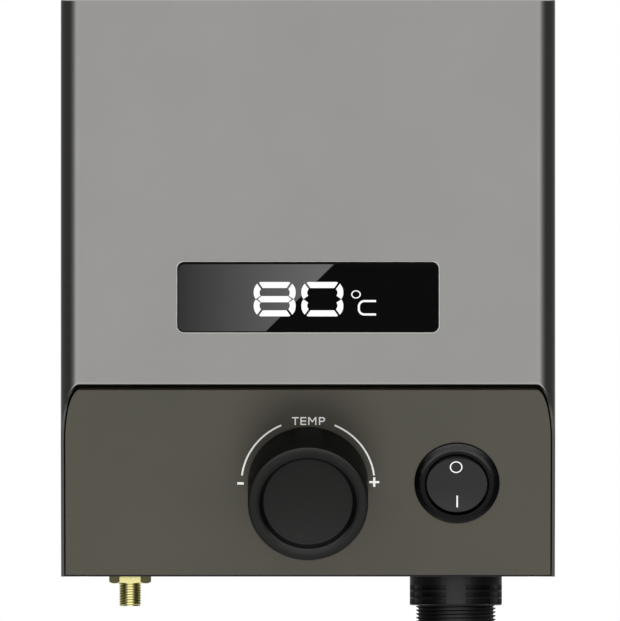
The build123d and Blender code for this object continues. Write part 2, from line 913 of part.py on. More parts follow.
with BuildPart() as power_switches:
    with BuildSketch(behind(power_switch_front)):
        with Locations((0, power_height)):
            with GridLocations(switch_pitch, power_switch_height, 3, 1):
                Rectangle(power_switch_width, power_switch_height)
    extrude(amount=-power_switch_thickness)
    lead_plane = behind(power_switch_front + (power_switch_thickness - lead_thickness) / 2)
    with BuildSketch(lead_plane):
        with Locations((0, power_switch_low - lead_drop / 2)):
            with GridLocations(switch_pitch, lead_drop, 3, 1):
                with GridLocations(lead_pitch, lead_drop, 3, 1):
                    Rectangle(lead_width, lead_drop)
    extrude(amount=-lead_thickness)
    with BuildSketch(lead_plane):
        with Locations((0, power_switch_low - lead_drop + lead_thickness / 2)):
            with GridLocations(switch_pitch, lead_thickness, 3, 1):
                with GridLocations(lead_pitch, lead_thickness, 3, 1):
                    Rectangle(lead_width, lead_thickness)
    extrude(amount=power_switch_front + (power_switch_thickness - lead_thickness) / 2 - power_board_back)
save("power_switches", power_switches)

relay_x = relay_inset - power_board_width / 2
capacitor_x = relay_x + relay_pitch + relay_width / 2 + capacitor_gap + capacitor_radius
transformer_x = power_board_width / 2 - transformer_inset
with BuildPart() as relays:
    with BuildSketch(behind(power_board_depth)):
        with Locations((relay_x, power_height), (relay_x + relay_pitch, power_height)):
            Rectangle(relay_width, relay_height)
    extrude(amount=relay_depth)
save("relays", relays)

with BuildPart() as capacitors:
    with BuildSketch(behind(power_board_depth)):
        with Locations(
            (capacitor_x, power_height - capacitor_pitch / 2),
            (capacitor_x, power_height + capacitor_pitch / 2),
        ):
            Circle(capacitor_radius)
    extrude(amount=capacitor_length)
    chamfer(capacitors.faces().sort_by(Axis.Y)[:2].edges(), capacitor_crimp)
save("capacitors", capacitors)

with BuildPart() as transformer:
    with BuildSketch(behind(power_board_depth)):
        with Locations((transformer_x, power_height)):
            Rectangle(transformer_width, transformer_height)
    extrude(amount=transformer_depth)
    with BuildSketch(behind(power_board_depth)):
        with Locations((transformer_x, power_height)):
            Rectangle(coil_width, transformer_height + 2 * coil_overhang)
    extrude(amount=transformer_depth - coil_overhang)
save("transformer", transformer)

# Terminal block: a stepped moulding with a screw over each way
block_front = inner_depth - block_depth
block_x = inner_half_width - block_inset
way_places = [
    (block_x + (way - (block_ways - 1) / 2) * way_pitch, block_height + block_rise / 4)
    for way in range(block_ways)
]
with BuildPart() as terminal_block:
    with BuildSketch(behind(block_front)):
        with Locations((block_x, block_height)):
            Rectangle(block_width, block_rise)
    extrude(amount=-block_depth)
    with BuildSketch(behind(block_front)):
        with Locations((block_x, block_height - block_rise / 4)):
            Rectangle(block_width, block_rise / 2)
    extrude(amount=-block_step, mode=Mode.SUBTRACT)
    with BuildSketch(behind(block_front)):
        with Locations(*way_places):
            Circle(way_screw_radius)
    extrude(amount=-way_screw_depth, mode=Mode.SUBTRACT)
save("terminal_block", terminal_block)

with BuildPart() as earth_stud:
    with BuildSketch(behind(inner_depth)):
        with Locations((earth_x, earth_height)):
            Circle(earth_radius)
    extrude(amount=earth_length)
    with BuildSketch(behind(inner_depth)):
        with Locations((earth_x, earth_height)):
            RegularPolygon(earth_nut_across_flats / 2, 6, major_radius=False)
    extrude(amount=earth_nut_height)
save("earth_stud", earth_stud)

# Screw boss: spigot, hexagon, relief and tank thread round a bore that holds the terminals
end_plate_y = thread_length - end_plate_thickness
spigot_y = rear_y - wall - spigot_reach
leg_angles = [30 + 60 * leg for leg in range(2 * element_count)]
leg_places = [
    (leg_circle_radius * cos(radians(angle)), leg_circle_radius * sin(radians(angle))) for angle in leg_angles
]
with BuildPart() as screw_boss:
    with BuildSketch(Plane.XY):
        with BuildLine():
            Polyline(
                (0, spigot_y),
                (spigot_radius, spigot_y),
                (spigot_radius, -seal_thickness),
                (thread_radius - relief_depth, -seal_thickness),
                (thread_radius - relief_depth, 0),
                (thread_radius, 0),
                (thread_radius, thread_length - thread_chamfer),
                (thread_radius - thread_chamfer, thread_length),
                (0, thread_length),
                close=True,
            )
        make_face()
    revolve(axis=Axis.Y)
    with BuildSketch(across(pad_y)):
        RegularPolygon(hex_across_flats / 2, 6, major_radius=False)
    extrude(amount=-hex_height)
    with BuildSketch(across(spigot_y)):
        Circle(boss_bore_radius)
    extrude(amount=-(end_plate_y - spigot_y), mode=Mode.SUBTRACT)
    with BuildSketch(across(end_plate_y)):
        with Locations(*leg_places):
            Circle(element_radius)
        Circle(well_radius)
    extrude(amount=-end_plate_thickness, mode=Mode.SUBTRACT)
    # The hexagon's points are turned off at its outer face
    turned_radius = hex_across_flats / sqrt(3) + overrun
    with BuildSketch(Plane.XY):
        with BuildLine():
            Polyline(
                (hex_across_flats / 2, -seal_thickness),
                (turned_radius, -seal_thickness),
                (turned_radius, -seal_thickness - (turned_radius - hex_across_flats / 2) / sqrt(3)),
                close=True,
            )
        make_face()
    revolve(axis=Axis.Y, mode=Mode.SUBTRACT)
save("screw_boss", screw_boss)

with BuildPart() as tank_seal:
    with BuildSketch(across(-seal_thickness)):
        ring(seal_outer_radius, thread_radius + slip_gap)
    extrude(amount=-seal_thickness)
save("tank_seal", tank_seal)

# Ring nut and its seal, inside the head
ring_nut_y = rear_y - wall - washer_seal_thickness
with BuildPart() as boss_washer_seal:
    with BuildSketch(across(ring_nut_y)):
        ring(ring_nut_radius, spigot_radius + slip_gap)
    extrude(amount=-washer_seal_thickness)
save("boss_washer_seal", boss_washer_seal)

with BuildPart() as boss_ring_nut:
    with BuildSketch(across(ring_nut_y)):
        ring(ring_nut_radius, spigot_radius + slip_gap)
        with PolarLocations(ring_nut_radius, ring_nut_slots):
            Rectangle(2 * ring_nut_slot_depth, ring_nut_slot_width, mode=Mode.SUBTRACT)
    extrude(amount=ring_nut_thickness)
save("boss_ring_nut", boss_ring_nut)

# Hairpin heating elements, each a tube from one leg round the far bend to the other
leg_start_y = end_plate_y - leg_tail
half_pitch = leg_circle_radius * sin(radians(30))
bend_centre_y = rod_reach - half_pitch - element_radius
for element in range(element_count):
    first_x, first_z = leg_places[2 * element]
    last_x, last_z = leg_places[2 * element + 1]
    with BuildPart() as heating_element:
        with BuildLine() as hairpin:
            Line((first_x, leg_start_y, first_z), (first_x, bend_centre_y, first_z))
            ThreePointArc(
                (first_x, bend_centre_y, first_z),
                ((first_x + last_x) / 2, bend_centre_y + half_pitch, (first_z + last_z) / 2),
                (last_x, bend_centre_y, last_z),
            )
            Line((last_x, bend_centre_y, last_z), (last_x, leg_start_y, last_z))
        with BuildSketch(Plane(origin=(first_x, leg_start_y, first_z), x_dir=(1, 0, 0), z_dir=(0, 1, 0))):
            Circle(element_radius)
        sweep(path=hairpin.wire())
    save(f"heating_element_{element + 1}", heating_element)

with BuildPart() as terminal_insulators:
    with BuildSketch(across(leg_start_y - insulator_length)):
        with Locations(*leg_places):
            ring(insulator_radius, stud_radius + slip_gap)
    extrude(amount=-insulator_length)
save("terminal_insulators", terminal_insulators)

stud_tip_y = leg_start_y - insulator_length - stud_length
with BuildPart() as terminal_studs:
    with BuildSketch(across(stud_tip_y)):
        with Locations(*leg_places):
            Circle(stud_radius)
    extrude(amount=-(stud_length + insulator_length))
save("terminal_studs", terminal_studs)

# Thermowell with the sensor and the cut-out's bulb side by side in it
well_mouth_y = end_plate_y - leg_tail
well_floor_y = well_reach - well_tip
with BuildPart() as thermowell:
    with BuildSketch(Plane.XY):
        with BuildLine():
            Polyline(
                (well_bore_radius, well_mouth_y),
                (well_radius, well_mouth_y),
                (well_radius, well_reach - well_radius),
            )
            CenterArc((0, well_reach - well_radius), well_radius, 0, 90)
            Polyline(
                (0, well_reach),
                (0, well_floor_y - well_radius),
                (well_bore_radius, well_floor_y - well_radius),
                (well_bore_radius, well_mouth_y),
            )
        make_face()
    revolve(axis=Axis.Y)
save("thermowell", thermowell)

probe_end_y = well_floor_y - well_radius - seat_gap
with BuildPart() as temperature_sensor:
    with BuildSketch(across(probe_end_y - sensor_length)):
        with Locations((bulb_offset, 0)):
            Circle(sensor_radius)
    extrude(amount=-sensor_length)
    with BuildSketch(across(spigot_y)):
        with Locations((bulb_offset, 0)):
            Circle(sensor_lead_radius)
    extrude(amount=-(probe_end_y - sensor_length - spigot_y))
save("temperature_sensor", temperature_sensor)

# Thermal cut-out: its body on the rear wall, and its capillary into the thermowell
cutout_front = inner_depth - cutout_depth
cutout_x = cutout_side_gap + cutout_width / 2 - inner_half_width
capillary_depth = inner_depth - capillary_offset
with BuildPart() as thermal_cutout:
    with BuildSketch(behind(cutout_front)):
        with Locations((cutout_x, axis_height)):
            Rectangle(cutout_width, cutout_height)
    extrude(amount=-cutout_depth)
    with BuildSketch(behind(cutout_front)):
        with Locations((cutout_x, axis_height)):
            Circle(cutout_button_radius)
    extrude(amount=cutout_button_height)
    lead(
        [
            in_head(cutout_x + cutout_width / 2, capillary_depth, axis_height),
            in_head(-bulb_offset, capillary_depth, axis_height),
            Vector(-bulb_offset, probe_end_y - bulb_length, 0),
        ],
        capillary_bend,
        capillary_radius,
    )
    with BuildSketch(across(probe_end_y - bulb_length)):
        with Locations((-bulb_offset, 0)):
            Circle(bulb_radius)
    extrude(amount=-bulb_length)
save("thermal_cutout", thermal_cutout)

# Spacers that keep the hairpins apart
with BuildPart() as element_spacers:
    for place in range(spacer_count):
        with BuildSketch(across(spacer_first + place * spacer_pitch)):
            Circle(spacer_radius)
            with Locations(*leg_places):
                Circle(element_radius + slip_gap, mode=Mode.SUBTRACT)
            Circle(well_radius + slip_gap, mode=Mode.SUBTRACT)
            with PolarLocations(spacer_radius, 2 * element_count):
                Circle(spacer_notch_radius, mode=Mode.SUBTRACT)
        extrude(amount=-spacer_thickness)
save("element_spacers", element_spacers)

# Rotary encoder behind the panel
with BuildPart() as encoder_body:
    with BuildSketch(chin.offset(-panel_thickness)):
        Rectangle(encoder_width, encoder_height)
    extrude(amount=-encoder_depth)
    with BuildSketch(chin.offset(-panel_thickness)):
        Circle(bush_radius)
    extrude(amount=bush_length + panel_thickness)
    with BuildSketch(chin.offset(-panel_thickness - encoder_depth)):
        with GridLocations(encoder_width / 3, encoder_height / 2, 3, 2):
            Rectangle(encoder_pin_width, encoder_pin_width)
    extrude(amount=-encoder_pin_length)
    with BuildSketch(chin.offset(bush_length)):
        Circle(shaft_radius + shaft_gap)
    extrude(amount=-(bush_length + panel_thickness + encoder_depth / 2), mode=Mode.SUBTRACT)
save("encoder_body", encoder_body)

with BuildPart() as encoder_washer:
    with BuildSketch(chin):
        ring(encoder_washer_radius, bush_radius + slip_gap)
    extrude(amount=encoder_washer_thickness)
save("encoder_washer", encoder_washer)

with BuildPart() as encoder_nut:
    with BuildSketch(chin.offset(encoder_washer_thickness)):
        RegularPolygon(encoder_nut_across_flats / 2, 6, major_radius=False)
        Circle(bush_radius + slip_gap, mode=Mode.SUBTRACT)
    extrude(amount=encoder_nut_height)
save("encoder_nut", encoder_nut)

# Knob: a dished cap over a hub with a brass insert on the encoder's shaft
dish_floor = knob_height - dish_depth
cap_underside = dish_floor - dish_floor_thickness
shaft_top = cap_underside - shaft_end_gap
with BuildPart() as encoder_shaft:
    with BuildSketch(chin.offset(-panel_thickness - encoder_depth / 2 + seat_gap)):
        Circle(shaft_radius)
    extrude(amount=panel_thickness + encoder_depth / 2 - seat_gap + shaft_top)
    with BuildSketch(chin.offset(bush_length + seat_gap)):
        with Locations((0, shaft_radius - shaft_flat / 2)):
            Rectangle(2 * shaft_radius, shaft_flat)
    extrude(amount=shaft_top, mode=Mode.SUBTRACT)
save("encoder_shaft", encoder_shaft)

with BuildPart() as knob:
    with BuildSketch(section(chin)) as profile:
        with BuildLine():
            Polyline(
                (0, cap_underside),
                (insert_radius, cap_underside),
                (insert_radius, bush_length + knob_lift),
                (hub_radius, bush_length + knob_lift),
                (hub_radius, cap_underside),
                (knob_radius - knob_wall, cap_underside),
                (knob_radius - knob_wall, knob_lift),
                (knob_radius, knob_lift),
                (knob_radius, knob_height),
                (rim_radius, knob_height),
                (dish_radius, dish_floor),
                (0, dish_floor),
                close=True,
            )
        make_face()
        rim_corner = profile.vertices().group_by(Axis.Y)[-1].sort_by(Axis.X)[-1]
        fillet(rim_corner, knob_fillet)
    revolve(axis=Axis(chin.origin, chin.z_dir))
save("knob", knob)

with BuildPart() as knob_insert:
    with BuildSketch(chin.offset(bush_length + knob_lift)):
        Circle(insert_radius)
    extrude(amount=cap_underside - bush_length - knob_lift)
    with BuildSketch(chin.offset(bush_length + knob_lift)):
        Circle(shaft_radius + shaft_gap)
        with Locations((0, shaft_radius - shaft_flat / 2 + shaft_gap)):
            Rectangle(2 * shaft_radius, shaft_flat, mode=Mode.SUBTRACT)
    extrude(amount=cap_underside - bush_length - knob_lift, mode=Mode.SUBTRACT)
save("knob_insert", knob_insert)

# Round rocker switch: bezel and barrel in one, with snap ears
with BuildPart() as switch_housing:
    with BuildSketch(section(switch_face)):
        with BuildLine():
            Polyline(
                (0, -barrel_length),
                (barrel_radius, -barrel_length),
                (barrel_radius, 0),
                (bezel_radius, 0),
                (bezel_radius, bezel_edge),
                (bezel_rim_radius, bezel_height),
                (rocker_bore_radius, bezel_height),
                (rocker_bore_radius, barrel_floor - barrel_length),
                (0, barrel_floor - barrel_length),
                close=True,
            )
        make_face()
    revolve(axis=Axis(switch_face.origin, switch_face.z_dir))
    # Trunnion holes through the barrel
    with BuildSketch(
        Plane(origin=switch_face.offset(-pivot_depth).origin, x_dir=switch_face.y_dir, z_dir=switch_face.x_dir)
    ):
        Circle(trunnion_radius + shaft_gap)
    extrude(amount=rocker_bore_radius + trunnion_length, both=True, mode=Mode.SUBTRACT)
    # Slots for the blades
    with BuildSketch(switch_face.offset(-barrel_length)):
        with GridLocations(blade_width, blade_pitch, 1, 2):
            Rectangle(blade_width, blade_thickness)
    extrude(amount=barrel_floor, mode=Mode.SUBTRACT)
    with BuildSketch(switch_face.offset(-panel_thickness - ear_length)):
        with GridLocations(2 * barrel_radius, ear_width, 2, 1):
            Rectangle(2 * ear_thickness, ear_width)
    extrude(amount=ear_length)
save("switch_housing", switch_housing)

with BuildPart() as switch_terminals:
    with BuildSketch(switch_face.offset(-barrel_length + barrel_floor)):
        with GridLocations(blade_width, blade_pitch, 1, 2):
            Rectangle(blade_width, blade_thickness)
    extrude(amount=-(blade_length + barrel_floor))
    blade_hole_level = -barrel_length - blade_length + 2 * blade_hole_radius
    with BuildSketch(
        Plane(
            origin=switch_face.offset(blade_hole_level).origin,
            x_dir=switch_face.x_dir,
            z_dir=switch_face.y_dir,
        )
    ):
        Circle(blade_hole_radius)
    extrude(amount=blade_pitch, both=True, mode=Mode.SUBTRACT)
save("switch_terminals", switch_terminals)

# Rocker: a ball cut by a hollow face, on two trunnions, tilted to its lower side at rest
pivot = switch_face.offset(-pivot_depth)
rocker_plane = pivot.rotated((rocker_tilt, 0, 0))
rocker_axis_section = Plane(origin=rocker_plane.origin, x_dir=rocker_plane.y_dir, z_dir=rocker_plane.x_dir)
with BuildPart() as rocker:
    with BuildSketch(section(rocker_plane)):
        with BuildLine():
            CenterArc((0, 0), rocker_radius, -90, 180)
            Line((0, rocker_radius), (0, -rocker_radius))
        make_face()
    revolve(axis=Axis(rocker_plane.origin, rocker_plane.z_dir))
    with BuildSketch(rocker_plane.offset(-rocker_foot)):
        Rectangle(4 * rocker_radius, 4 * rocker_radius)
    extrude(amount=-rocker_radius, mode=Mode.SUBTRACT)
    with BuildSketch(rocker_axis_section):
        Circle(trunnion_radius)
    extrude(amount=rocker_bore_radius + trunnion_length - slip_gap, both=True)
    # The hollow face: above the rim plane, and the shallow cylinder below it
    edge_half = sqrt(rocker_radius ** 2 - rocker_rise ** 2)
    dish_centre = rocker_rise + sqrt(rocker_dish_radius ** 2 - edge_half ** 2)
    with BuildSketch(rocker_plane.offset(rocker_rise)):
        Rectangle(4 * rocker_radius, 4 * rocker_radius)
    extrude(amount=rocker_radius, mode=Mode.SUBTRACT)
    with BuildSketch(rocker_axis_section):
        with Locations((0, dish_centre)):
            Circle(rocker_dish_radius)
    extrude(amount=2 * rocker_radius, both=True, mode=Mode.SUBTRACT)
save("rocker", rocker)

# Power inlet: threaded sleeve with an inner flange, and the ring nut that grips it from below
inlet_plane = underside(inlet_x)
inlet_axis = Axis(inlet_plane.origin, inlet_plane.z_dir)
flange_foot = -(plate_thickness + inlet_seal_thickness)
flange_top = flange_foot - inlet_flange_thickness
insert_foot = inlet_thread_reach - inlet_bore_depth
with BuildPart() as inlet_body:
    with BuildSketch(section(inlet_plane)):
        with BuildLine():
            Polyline(
                (inlet_tail_bore_radius, flange_top - inlet_tail_length),
                (inlet_tail_radius, flange_top - inlet_tail_length),
                (inlet_tail_radius, flange_top),
                (inlet_flange_radius, flange_top),
                (inlet_flange_radius, flange_foot),
                (inlet_thread_radius - inlet_relief, flange_foot),
                (inlet_thread_radius - inlet_relief, grip_height),
                (inlet_thread_radius, grip_height),
                (inlet_thread_radius, inlet_thread_reach - inlet_chamfer),
                (inlet_thread_radius - inlet_chamfer, inlet_thread_reach),
                (inlet_bore_radius, inlet_thread_reach),
                (inlet_bore_radius, insert_foot - insert_thickness),
                (inlet_tail_bore_radius, insert_foot - insert_thickness),
                close=True,
            )
        make_face()
    revolve(axis=inlet_axis)
save("inlet_body", inlet_body)

with BuildPart() as inlet_seal:
    with BuildSketch(inlet_plane.offset(-plate_thickness)):
        ring(inlet_flange_radius, inlet_thread_radius + slip_gap)
    extrude(amount=-inlet_seal_thickness)
save("inlet_seal", inlet_seal)

# Each pocket starts at an angle from the front, the same on both sides of the front and the back
pocket_steps = [pocket_start + step * pocket_step for step in range(pockets_in_quarter)]
pocket_starts = []
for middle_turn in (0, 180):
    pocket_starts += [middle_turn + turn for turn in pocket_steps]
    pocket_starts += [middle_turn - turn - pocket_arc for turn in pocket_steps]

with BuildPart() as inlet_ring_nut:
    with BuildSketch(inlet_plane):
        ring(grip_radius, inlet_thread_radius + slip_gap)
    extrude(amount=grip_height)
    chamfer(inlet_ring_nut.faces().sort_by(Axis.Z)[0].edges().sort_by(SortBy.RADIUS)[-1], grip_chamfer)
    # Grip pockets in rows, left plain at the front and the back
    for row in range(pocket_rows):
        middle = pocket_first + row * pocket_row_pitch + pocket_row_height / 2
        for start in pocket_starts:
            radial = inlet_plane.y_dir.rotate(Axis((0, 0, 0), inlet_plane.z_dir), start)
            with BuildSketch(section(Plane(inlet_plane.origin, x_dir=radial, z_dir=inlet_plane.z_dir))):
                with Locations((grip_radius, middle)):
                    Rectangle(2 * pocket_depth, pocket_row_height)
            revolve(axis=inlet_axis, revolution_arc=pocket_arc, mode=Mode.SUBTRACT)
save("inlet_ring_nut", inlet_ring_nut)

pin_places = [
    (pin_circle_radius * cos(radians(90 + pin * 360 / pin_count)),
     pin_circle_radius * sin(radians(90 + pin * 360 / pin_count)))
    for pin in range(pin_count)
]
with BuildPart() as inlet_insert:
    with BuildSketch(inlet_plane.offset(insert_foot)):
        Circle(inlet_bore_radius - slip_gap)
        with Locations(*pin_places):
            Circle(pin_radius + slip_gap, mode=Mode.SUBTRACT)
    extrude(amount=-insert_thickness)
save("inlet_insert", inlet_insert)

with BuildPart() as inlet_pins:
    with BuildSketch(inlet_plane.offset(insert_foot + pin_reach)):
        with Locations(*pin_places):
            Circle(pin_radius)
    extrude(amount=-(pin_reach + insert_thickness + pin_tail))
    chamfer(inlet_pins.faces().sort_by(Axis.Z)[:pin_count].edges(), pin_radius / 3)
save("inlet_pins", inlet_pins)

# Antenna socket
sma_plane = underside(sma_x)
sma_axis = Axis(sma_plane.origin, sma_plane.z_dir)
sma_flange_foot = -(plate_thickness + sma_seal_thickness)
sma_flange_top = sma_flange_foot - sma_flange_thickness
sma_bore_floor = sma_thread_reach - sma_bore_depth
with BuildPart() as sma_body:
    with BuildSketch(section(sma_plane)):
        with BuildLine():
            Polyline(
                (0, sma_flange_top - sma_tail_length),
                (sma_tail_radius, sma_flange_top - sma_tail_length),
                (sma_tail_radius, sma_flange_top),
                (sma_flange_radius, sma_flange_top),
                (sma_flange_radius, sma_flange_foot),
                (sma_thread_radius - sma_relief, sma_flange_foot),
                (sma_thread_radius - sma_relief, sma_nut_height),
                (sma_thread_radius, sma_nut_height),
                (sma_thread_radius, sma_thread_reach - sma_chamfer),
                (sma_thread_radius - sma_chamfer, sma_thread_reach),
                (sma_bore_radius, sma_thread_reach),
                (sma_bore_radius, sma_bore_floor),
                (0, sma_bore_floor),
                close=True,
            )
        make_face()
    revolve(axis=sma_axis)
save("sma_body", sma_body)

with BuildPart() as sma_seal:
    with BuildSketch(sma_plane.offset(-plate_thickness)):
        ring(sma_flange_radius, sma_thread_radius + slip_gap)
    extrude(amount=-sma_seal_thickness)
save("sma_seal", sma_seal)

with BuildPart() as sma_nut:
    with BuildSketch(sma_plane):
        RegularPolygon(sma_nut_across_flats / 2, 6, major_radius=False)
        Circle(sma_thread_radius + slip_gap, mode=Mode.SUBTRACT)
    extrude(amount=sma_nut_height)
    # The nut's points are turned off at its lower face
    nut_turned_radius = sma_nut_across_flats / sqrt(3) + sma_nut_chamfer
    with BuildSketch(section(sma_plane)):
        with BuildLine():
            Polyline(
                (sma_nut_across_flats / 2, sma_nut_height),
                (nut_turned_radius, sma_nut_height),
                (nut_turned_radius, sma_nut_height - (nut_turned_radius - sma_nut_across_flats / 2) / sqrt(3)),
                close=True,
            )
        make_face()
    revolve(axis=sma_axis, mode=Mode.SUBTRACT)
save("sma_nut", sma_nut)

with BuildPart() as sma_insulator:
    with BuildSketch(sma_plane.offset(sma_bore_floor)):
        ring(sma_bore_radius - slip_gap, sma_contact_radius + slip_gap)
    extrude(amount=sma_bore_depth - sma_insulator_recess)
save("sma_insulator", sma_insulator)

with BuildPart() as sma_contact:
    with BuildSketch(sma_plane.offset(sma_bore_floor)):
        Circle(sma_contact_radius)
    extrude(amount=sma_bore_depth - sma_insulator_recess)
    with BuildSketch(sma_plane.offset(sma_thread_reach - sma_insulator_recess)):
        Circle(sma_socket_radius)
    extrude(amount=-sma_socket_depth, mode=Mode.SUBTRACT)
save("sma_contact", sma_contact)

# Antenna lead, from the socket's tail to the radio module
with BuildPart() as antenna_lead:
    coax_start = -(sma_flange_top - sma_tail_length)
    radio_height_above = display_height + radio_rise
    lead(
        [
            in_head(sma_x, connector_depth, coax_start),
            in_head(sma_x, connector_depth, coax_start + coax_rise),
            in_head(radio_x, connector_depth, radio_height_above),
            in_head(radio_x, radio_back + radio_socket_height, radio_height_above),
        ],
        coax_bend,
        coax_radius,
    )
save("antenna_lead", antenna_lead)

# Power leads: inlet to terminal block, block to power board, and board to one stud of each element
pin_end_height = -(insert_foot - insert_thickness - pin_tail)
way_height = block_height - block_rise / 4
supply_depth = inner_depth - block_depth / 2
board_low_height = power_height - power_board_height / 2
supply_height = board_low_height + 2 * supply_lead_radius
board_mid_depth = power_board_depth + board_thickness / 2
pins_across = sorted(pin_places)
with BuildPart() as power_leads:
    for way in range(block_ways):
        lead_x = block_x + (way - (block_ways - 1) / 2) * way_pitch
        pin_u, pin_v = pins_across[way]
        pin_depth = connector_depth - pin_v
        lead(
            [
                in_head(inlet_x + pin_u, pin_depth, pin_end_height),
                in_head(inlet_x + pin_u, pin_depth, way_height - mains_lead_bend),
                in_head(lead_x, block_front - mains_lead_bend, way_height),
                in_head(lead_x, block_front + block_step, way_height),
            ],
            mains_lead_bend / 3,
            mains_lead_radius,
        )
        lead(
            [
                in_head(lead_x, supply_depth, block_height + block_rise / 2),
                in_head(lead_x, supply_depth, supply_height),
                in_head(lead_x, power_board_back, supply_height),
            ],
            supply_lead_bend,
            supply_lead_radius,
        )
    for leg in range(element_count):
        lead_x, lead_z = leg_places[leg]
        lead(
            [
                Vector(lead_x, stud_tip_y, lead_z),
                in_head(lead_x, board_mid_depth, axis_height + lead_z),
                in_head(lead_x, board_mid_depth, board_low_height),
            ],
            element_lead_bend,
            element_lead_radius,
        )
save("power_leads", power_leads)
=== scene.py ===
import bpy
import bmesh
from math import atan, cos, degrees, pi, radians, sin, sqrt, tan
from mathutils import Matrix, Vector


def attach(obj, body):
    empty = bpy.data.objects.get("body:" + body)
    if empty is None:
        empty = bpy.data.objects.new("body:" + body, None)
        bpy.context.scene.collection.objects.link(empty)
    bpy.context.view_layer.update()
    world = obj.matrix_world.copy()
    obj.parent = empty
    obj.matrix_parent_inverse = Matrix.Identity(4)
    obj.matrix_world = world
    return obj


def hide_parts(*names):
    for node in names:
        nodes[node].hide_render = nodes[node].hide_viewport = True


# Control head of a screw-in immersion water heater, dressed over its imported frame
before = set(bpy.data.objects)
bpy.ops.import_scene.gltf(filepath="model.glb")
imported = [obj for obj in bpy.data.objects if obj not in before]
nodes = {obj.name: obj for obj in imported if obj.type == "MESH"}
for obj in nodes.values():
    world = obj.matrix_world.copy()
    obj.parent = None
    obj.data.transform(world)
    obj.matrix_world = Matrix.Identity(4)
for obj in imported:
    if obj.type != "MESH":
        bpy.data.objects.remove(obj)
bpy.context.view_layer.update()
scene = bpy.context.scene
mm = 0.001
# Places this near in mm count as one, and directions with this product as the same
near, aligned = 0.02, 0.9999
print("frame loaded:", len(nodes), "nodes")


# A place on the head: its centre in mm, the direction across it and the one up it
def placeAt(centre, across, up):
    across, up = Vector(across).normalized(), Vector(up).normalized()
    turn = Matrix((across, up, across.cross(up))).transposed().to_4x4()
    return Matrix.Translation(Vector(centre) * mm) @ turn


head = {"frontY": -113.0, "bottomZ": -84.0, "topZ": 84.5, "halfWidth": 72.0, "sideBand": 0.1, "panelY": -103.264,
        "panelZ": -56.7, "panelTilt": 18.8, "socketY": -57.0}
panelTilt = radians(head["panelTilt"])
frontPlace = placeAt((0, head["frontY"], head["bottomZ"]), (1, 0, 0), (0, 0, 1))
panelPlace = placeAt((0, head["panelY"], head["panelZ"]), (1, 0, 0), (0, -sin(panelTilt), cos(panelTilt)))
panelOut = panelPlace.to_3x3().col[2]
tankPlace = placeAt((0, 0, 0), (1, 0, 0), (0, 0, -1))


def underPlace(x):
    return placeAt((x, head["socketY"], head["bottomZ"]), (1, 0, 0), (0, -1, 0))


def addObject(name, data):
    item = bpy.data.objects.new(name, data)
    scene.collection.objects.link(item)
    return item


def srgb(red, green, blue):
    parts = [value / 255 for value in (red, green, blue)]
    return [value / 12.92 if value <= 0.04045 else ((value + 0.055) / 1.055) ** 2.4 for value in parts] + [1.0]


# A socket takes a number or a link
def feed(tree, value, socket):
    if isinstance(value, (int, float)):
        socket.default_value = value
    elif value is not None:
        tree.links.new(value, socket)


def newGroup(name, inputs, outputs):
    group = bpy.data.node_groups.new(name, "ShaderNodeTree")
    for label, value in inputs.items():
        kind = "NodeSocketFloat" if isinstance(value, float) else "NodeSocketVector"
        group.interface.new_socket(name=label, in_out="INPUT", socket_type=kind).default_value = value
    for label in outputs:
        group.interface.new_socket(name=label, in_out="OUTPUT", socket_type="NodeSocketFloat")
    return group, group.nodes.new("NodeGroupInput"), group.nodes.new("NodeGroupOutput")


def addMath(tree, operation, first, second=None, clamp=False):
    node = tree.nodes.new("ShaderNodeMath")
    node.operation = operation
    node.use_clamp = clamp
    feed(tree, first, node.inputs[0])
    feed(tree, second, node.inputs[1])
    return node.outputs[0]


def times(tree, first, second, clamp=False):
    return addMath(tree, "MULTIPLY", first, second, clamp)


def plus(tree, first, second):
    return addMath(tree, "ADD", first, second)


def addNoise(tree, vector, scale, detail, roughness=0.55):
    node = tree.nodes.new("ShaderNodeTexNoise")
    for label, value in (("Detail", detail), ("Roughness", roughness), ("Vector", vector), ("Scale", scale)):
        feed(tree, value, node.inputs[label])
    return node.outputs[0]


def addRange(tree, value, fromRange, toRange=(0.0, 1.0)):
    node = tree.nodes.new("ShaderNodeMapRange")
    node.inputs["From Min"].default_value, node.inputs["From Max"].default_value = fromRange
    node.inputs["To Min"].default_value, node.inputs["To Max"].default_value = toRange
    tree.links.new(value, node.inputs["Value"])
    return node.outputs[0]


def addMix(tree, factor, first, second):
    node = tree.nodes.new("ShaderNodeMix")
    node.data_type = "FLOAT"
    for label, value in (("Factor", factor), ("A", first), ("B", second)):
        feed(tree, value, node.inputs[label])
    return node.outputs["Result"]


# A tint is a colour in sRGB or a link
def addTint(tree, factor, first, second, blend="MIX"):
    node = tree.nodes.new("ShaderNodeMix")
    node.data_type = "RGBA"
    node.blend_type = blend
    feed(tree, factor, node.inputs["Factor"])
    for label, value in (("A", first), ("B", second)):
        if isinstance(value, tuple):
            node.inputs[label].default_value = srgb(*value)
        else:
            tree.links.new(value, node.inputs[label])
    return node.outputs["Result"]


def addCurve(tree, points, value):
    node = tree.nodes.new("ShaderNodeFloatCurve")
    node.mapping.use_clip = False
    curve = node.mapping.curves[0]
    curve.points[0].location = points[0]
    curve.points[1].location = points[-1]
    for spot in points[1:-1]:
        curve.points.new(*spot)
    for point in curve.points:
        point.handle_type = "VECTOR"
    node.mapping.update()
    tree.links.new(value, node.inputs["Value"])
    return node.outputs[0]


def useGroup(tree, group, vector, **values):
    node = tree.nodes.new("ShaderNodeGroup")
    node.node_tree = group
    tree.links.new(vector, node.inputs["Vector"])
    for label, value in values.items():
        node.inputs[label].default_value = value
    return node.outputs


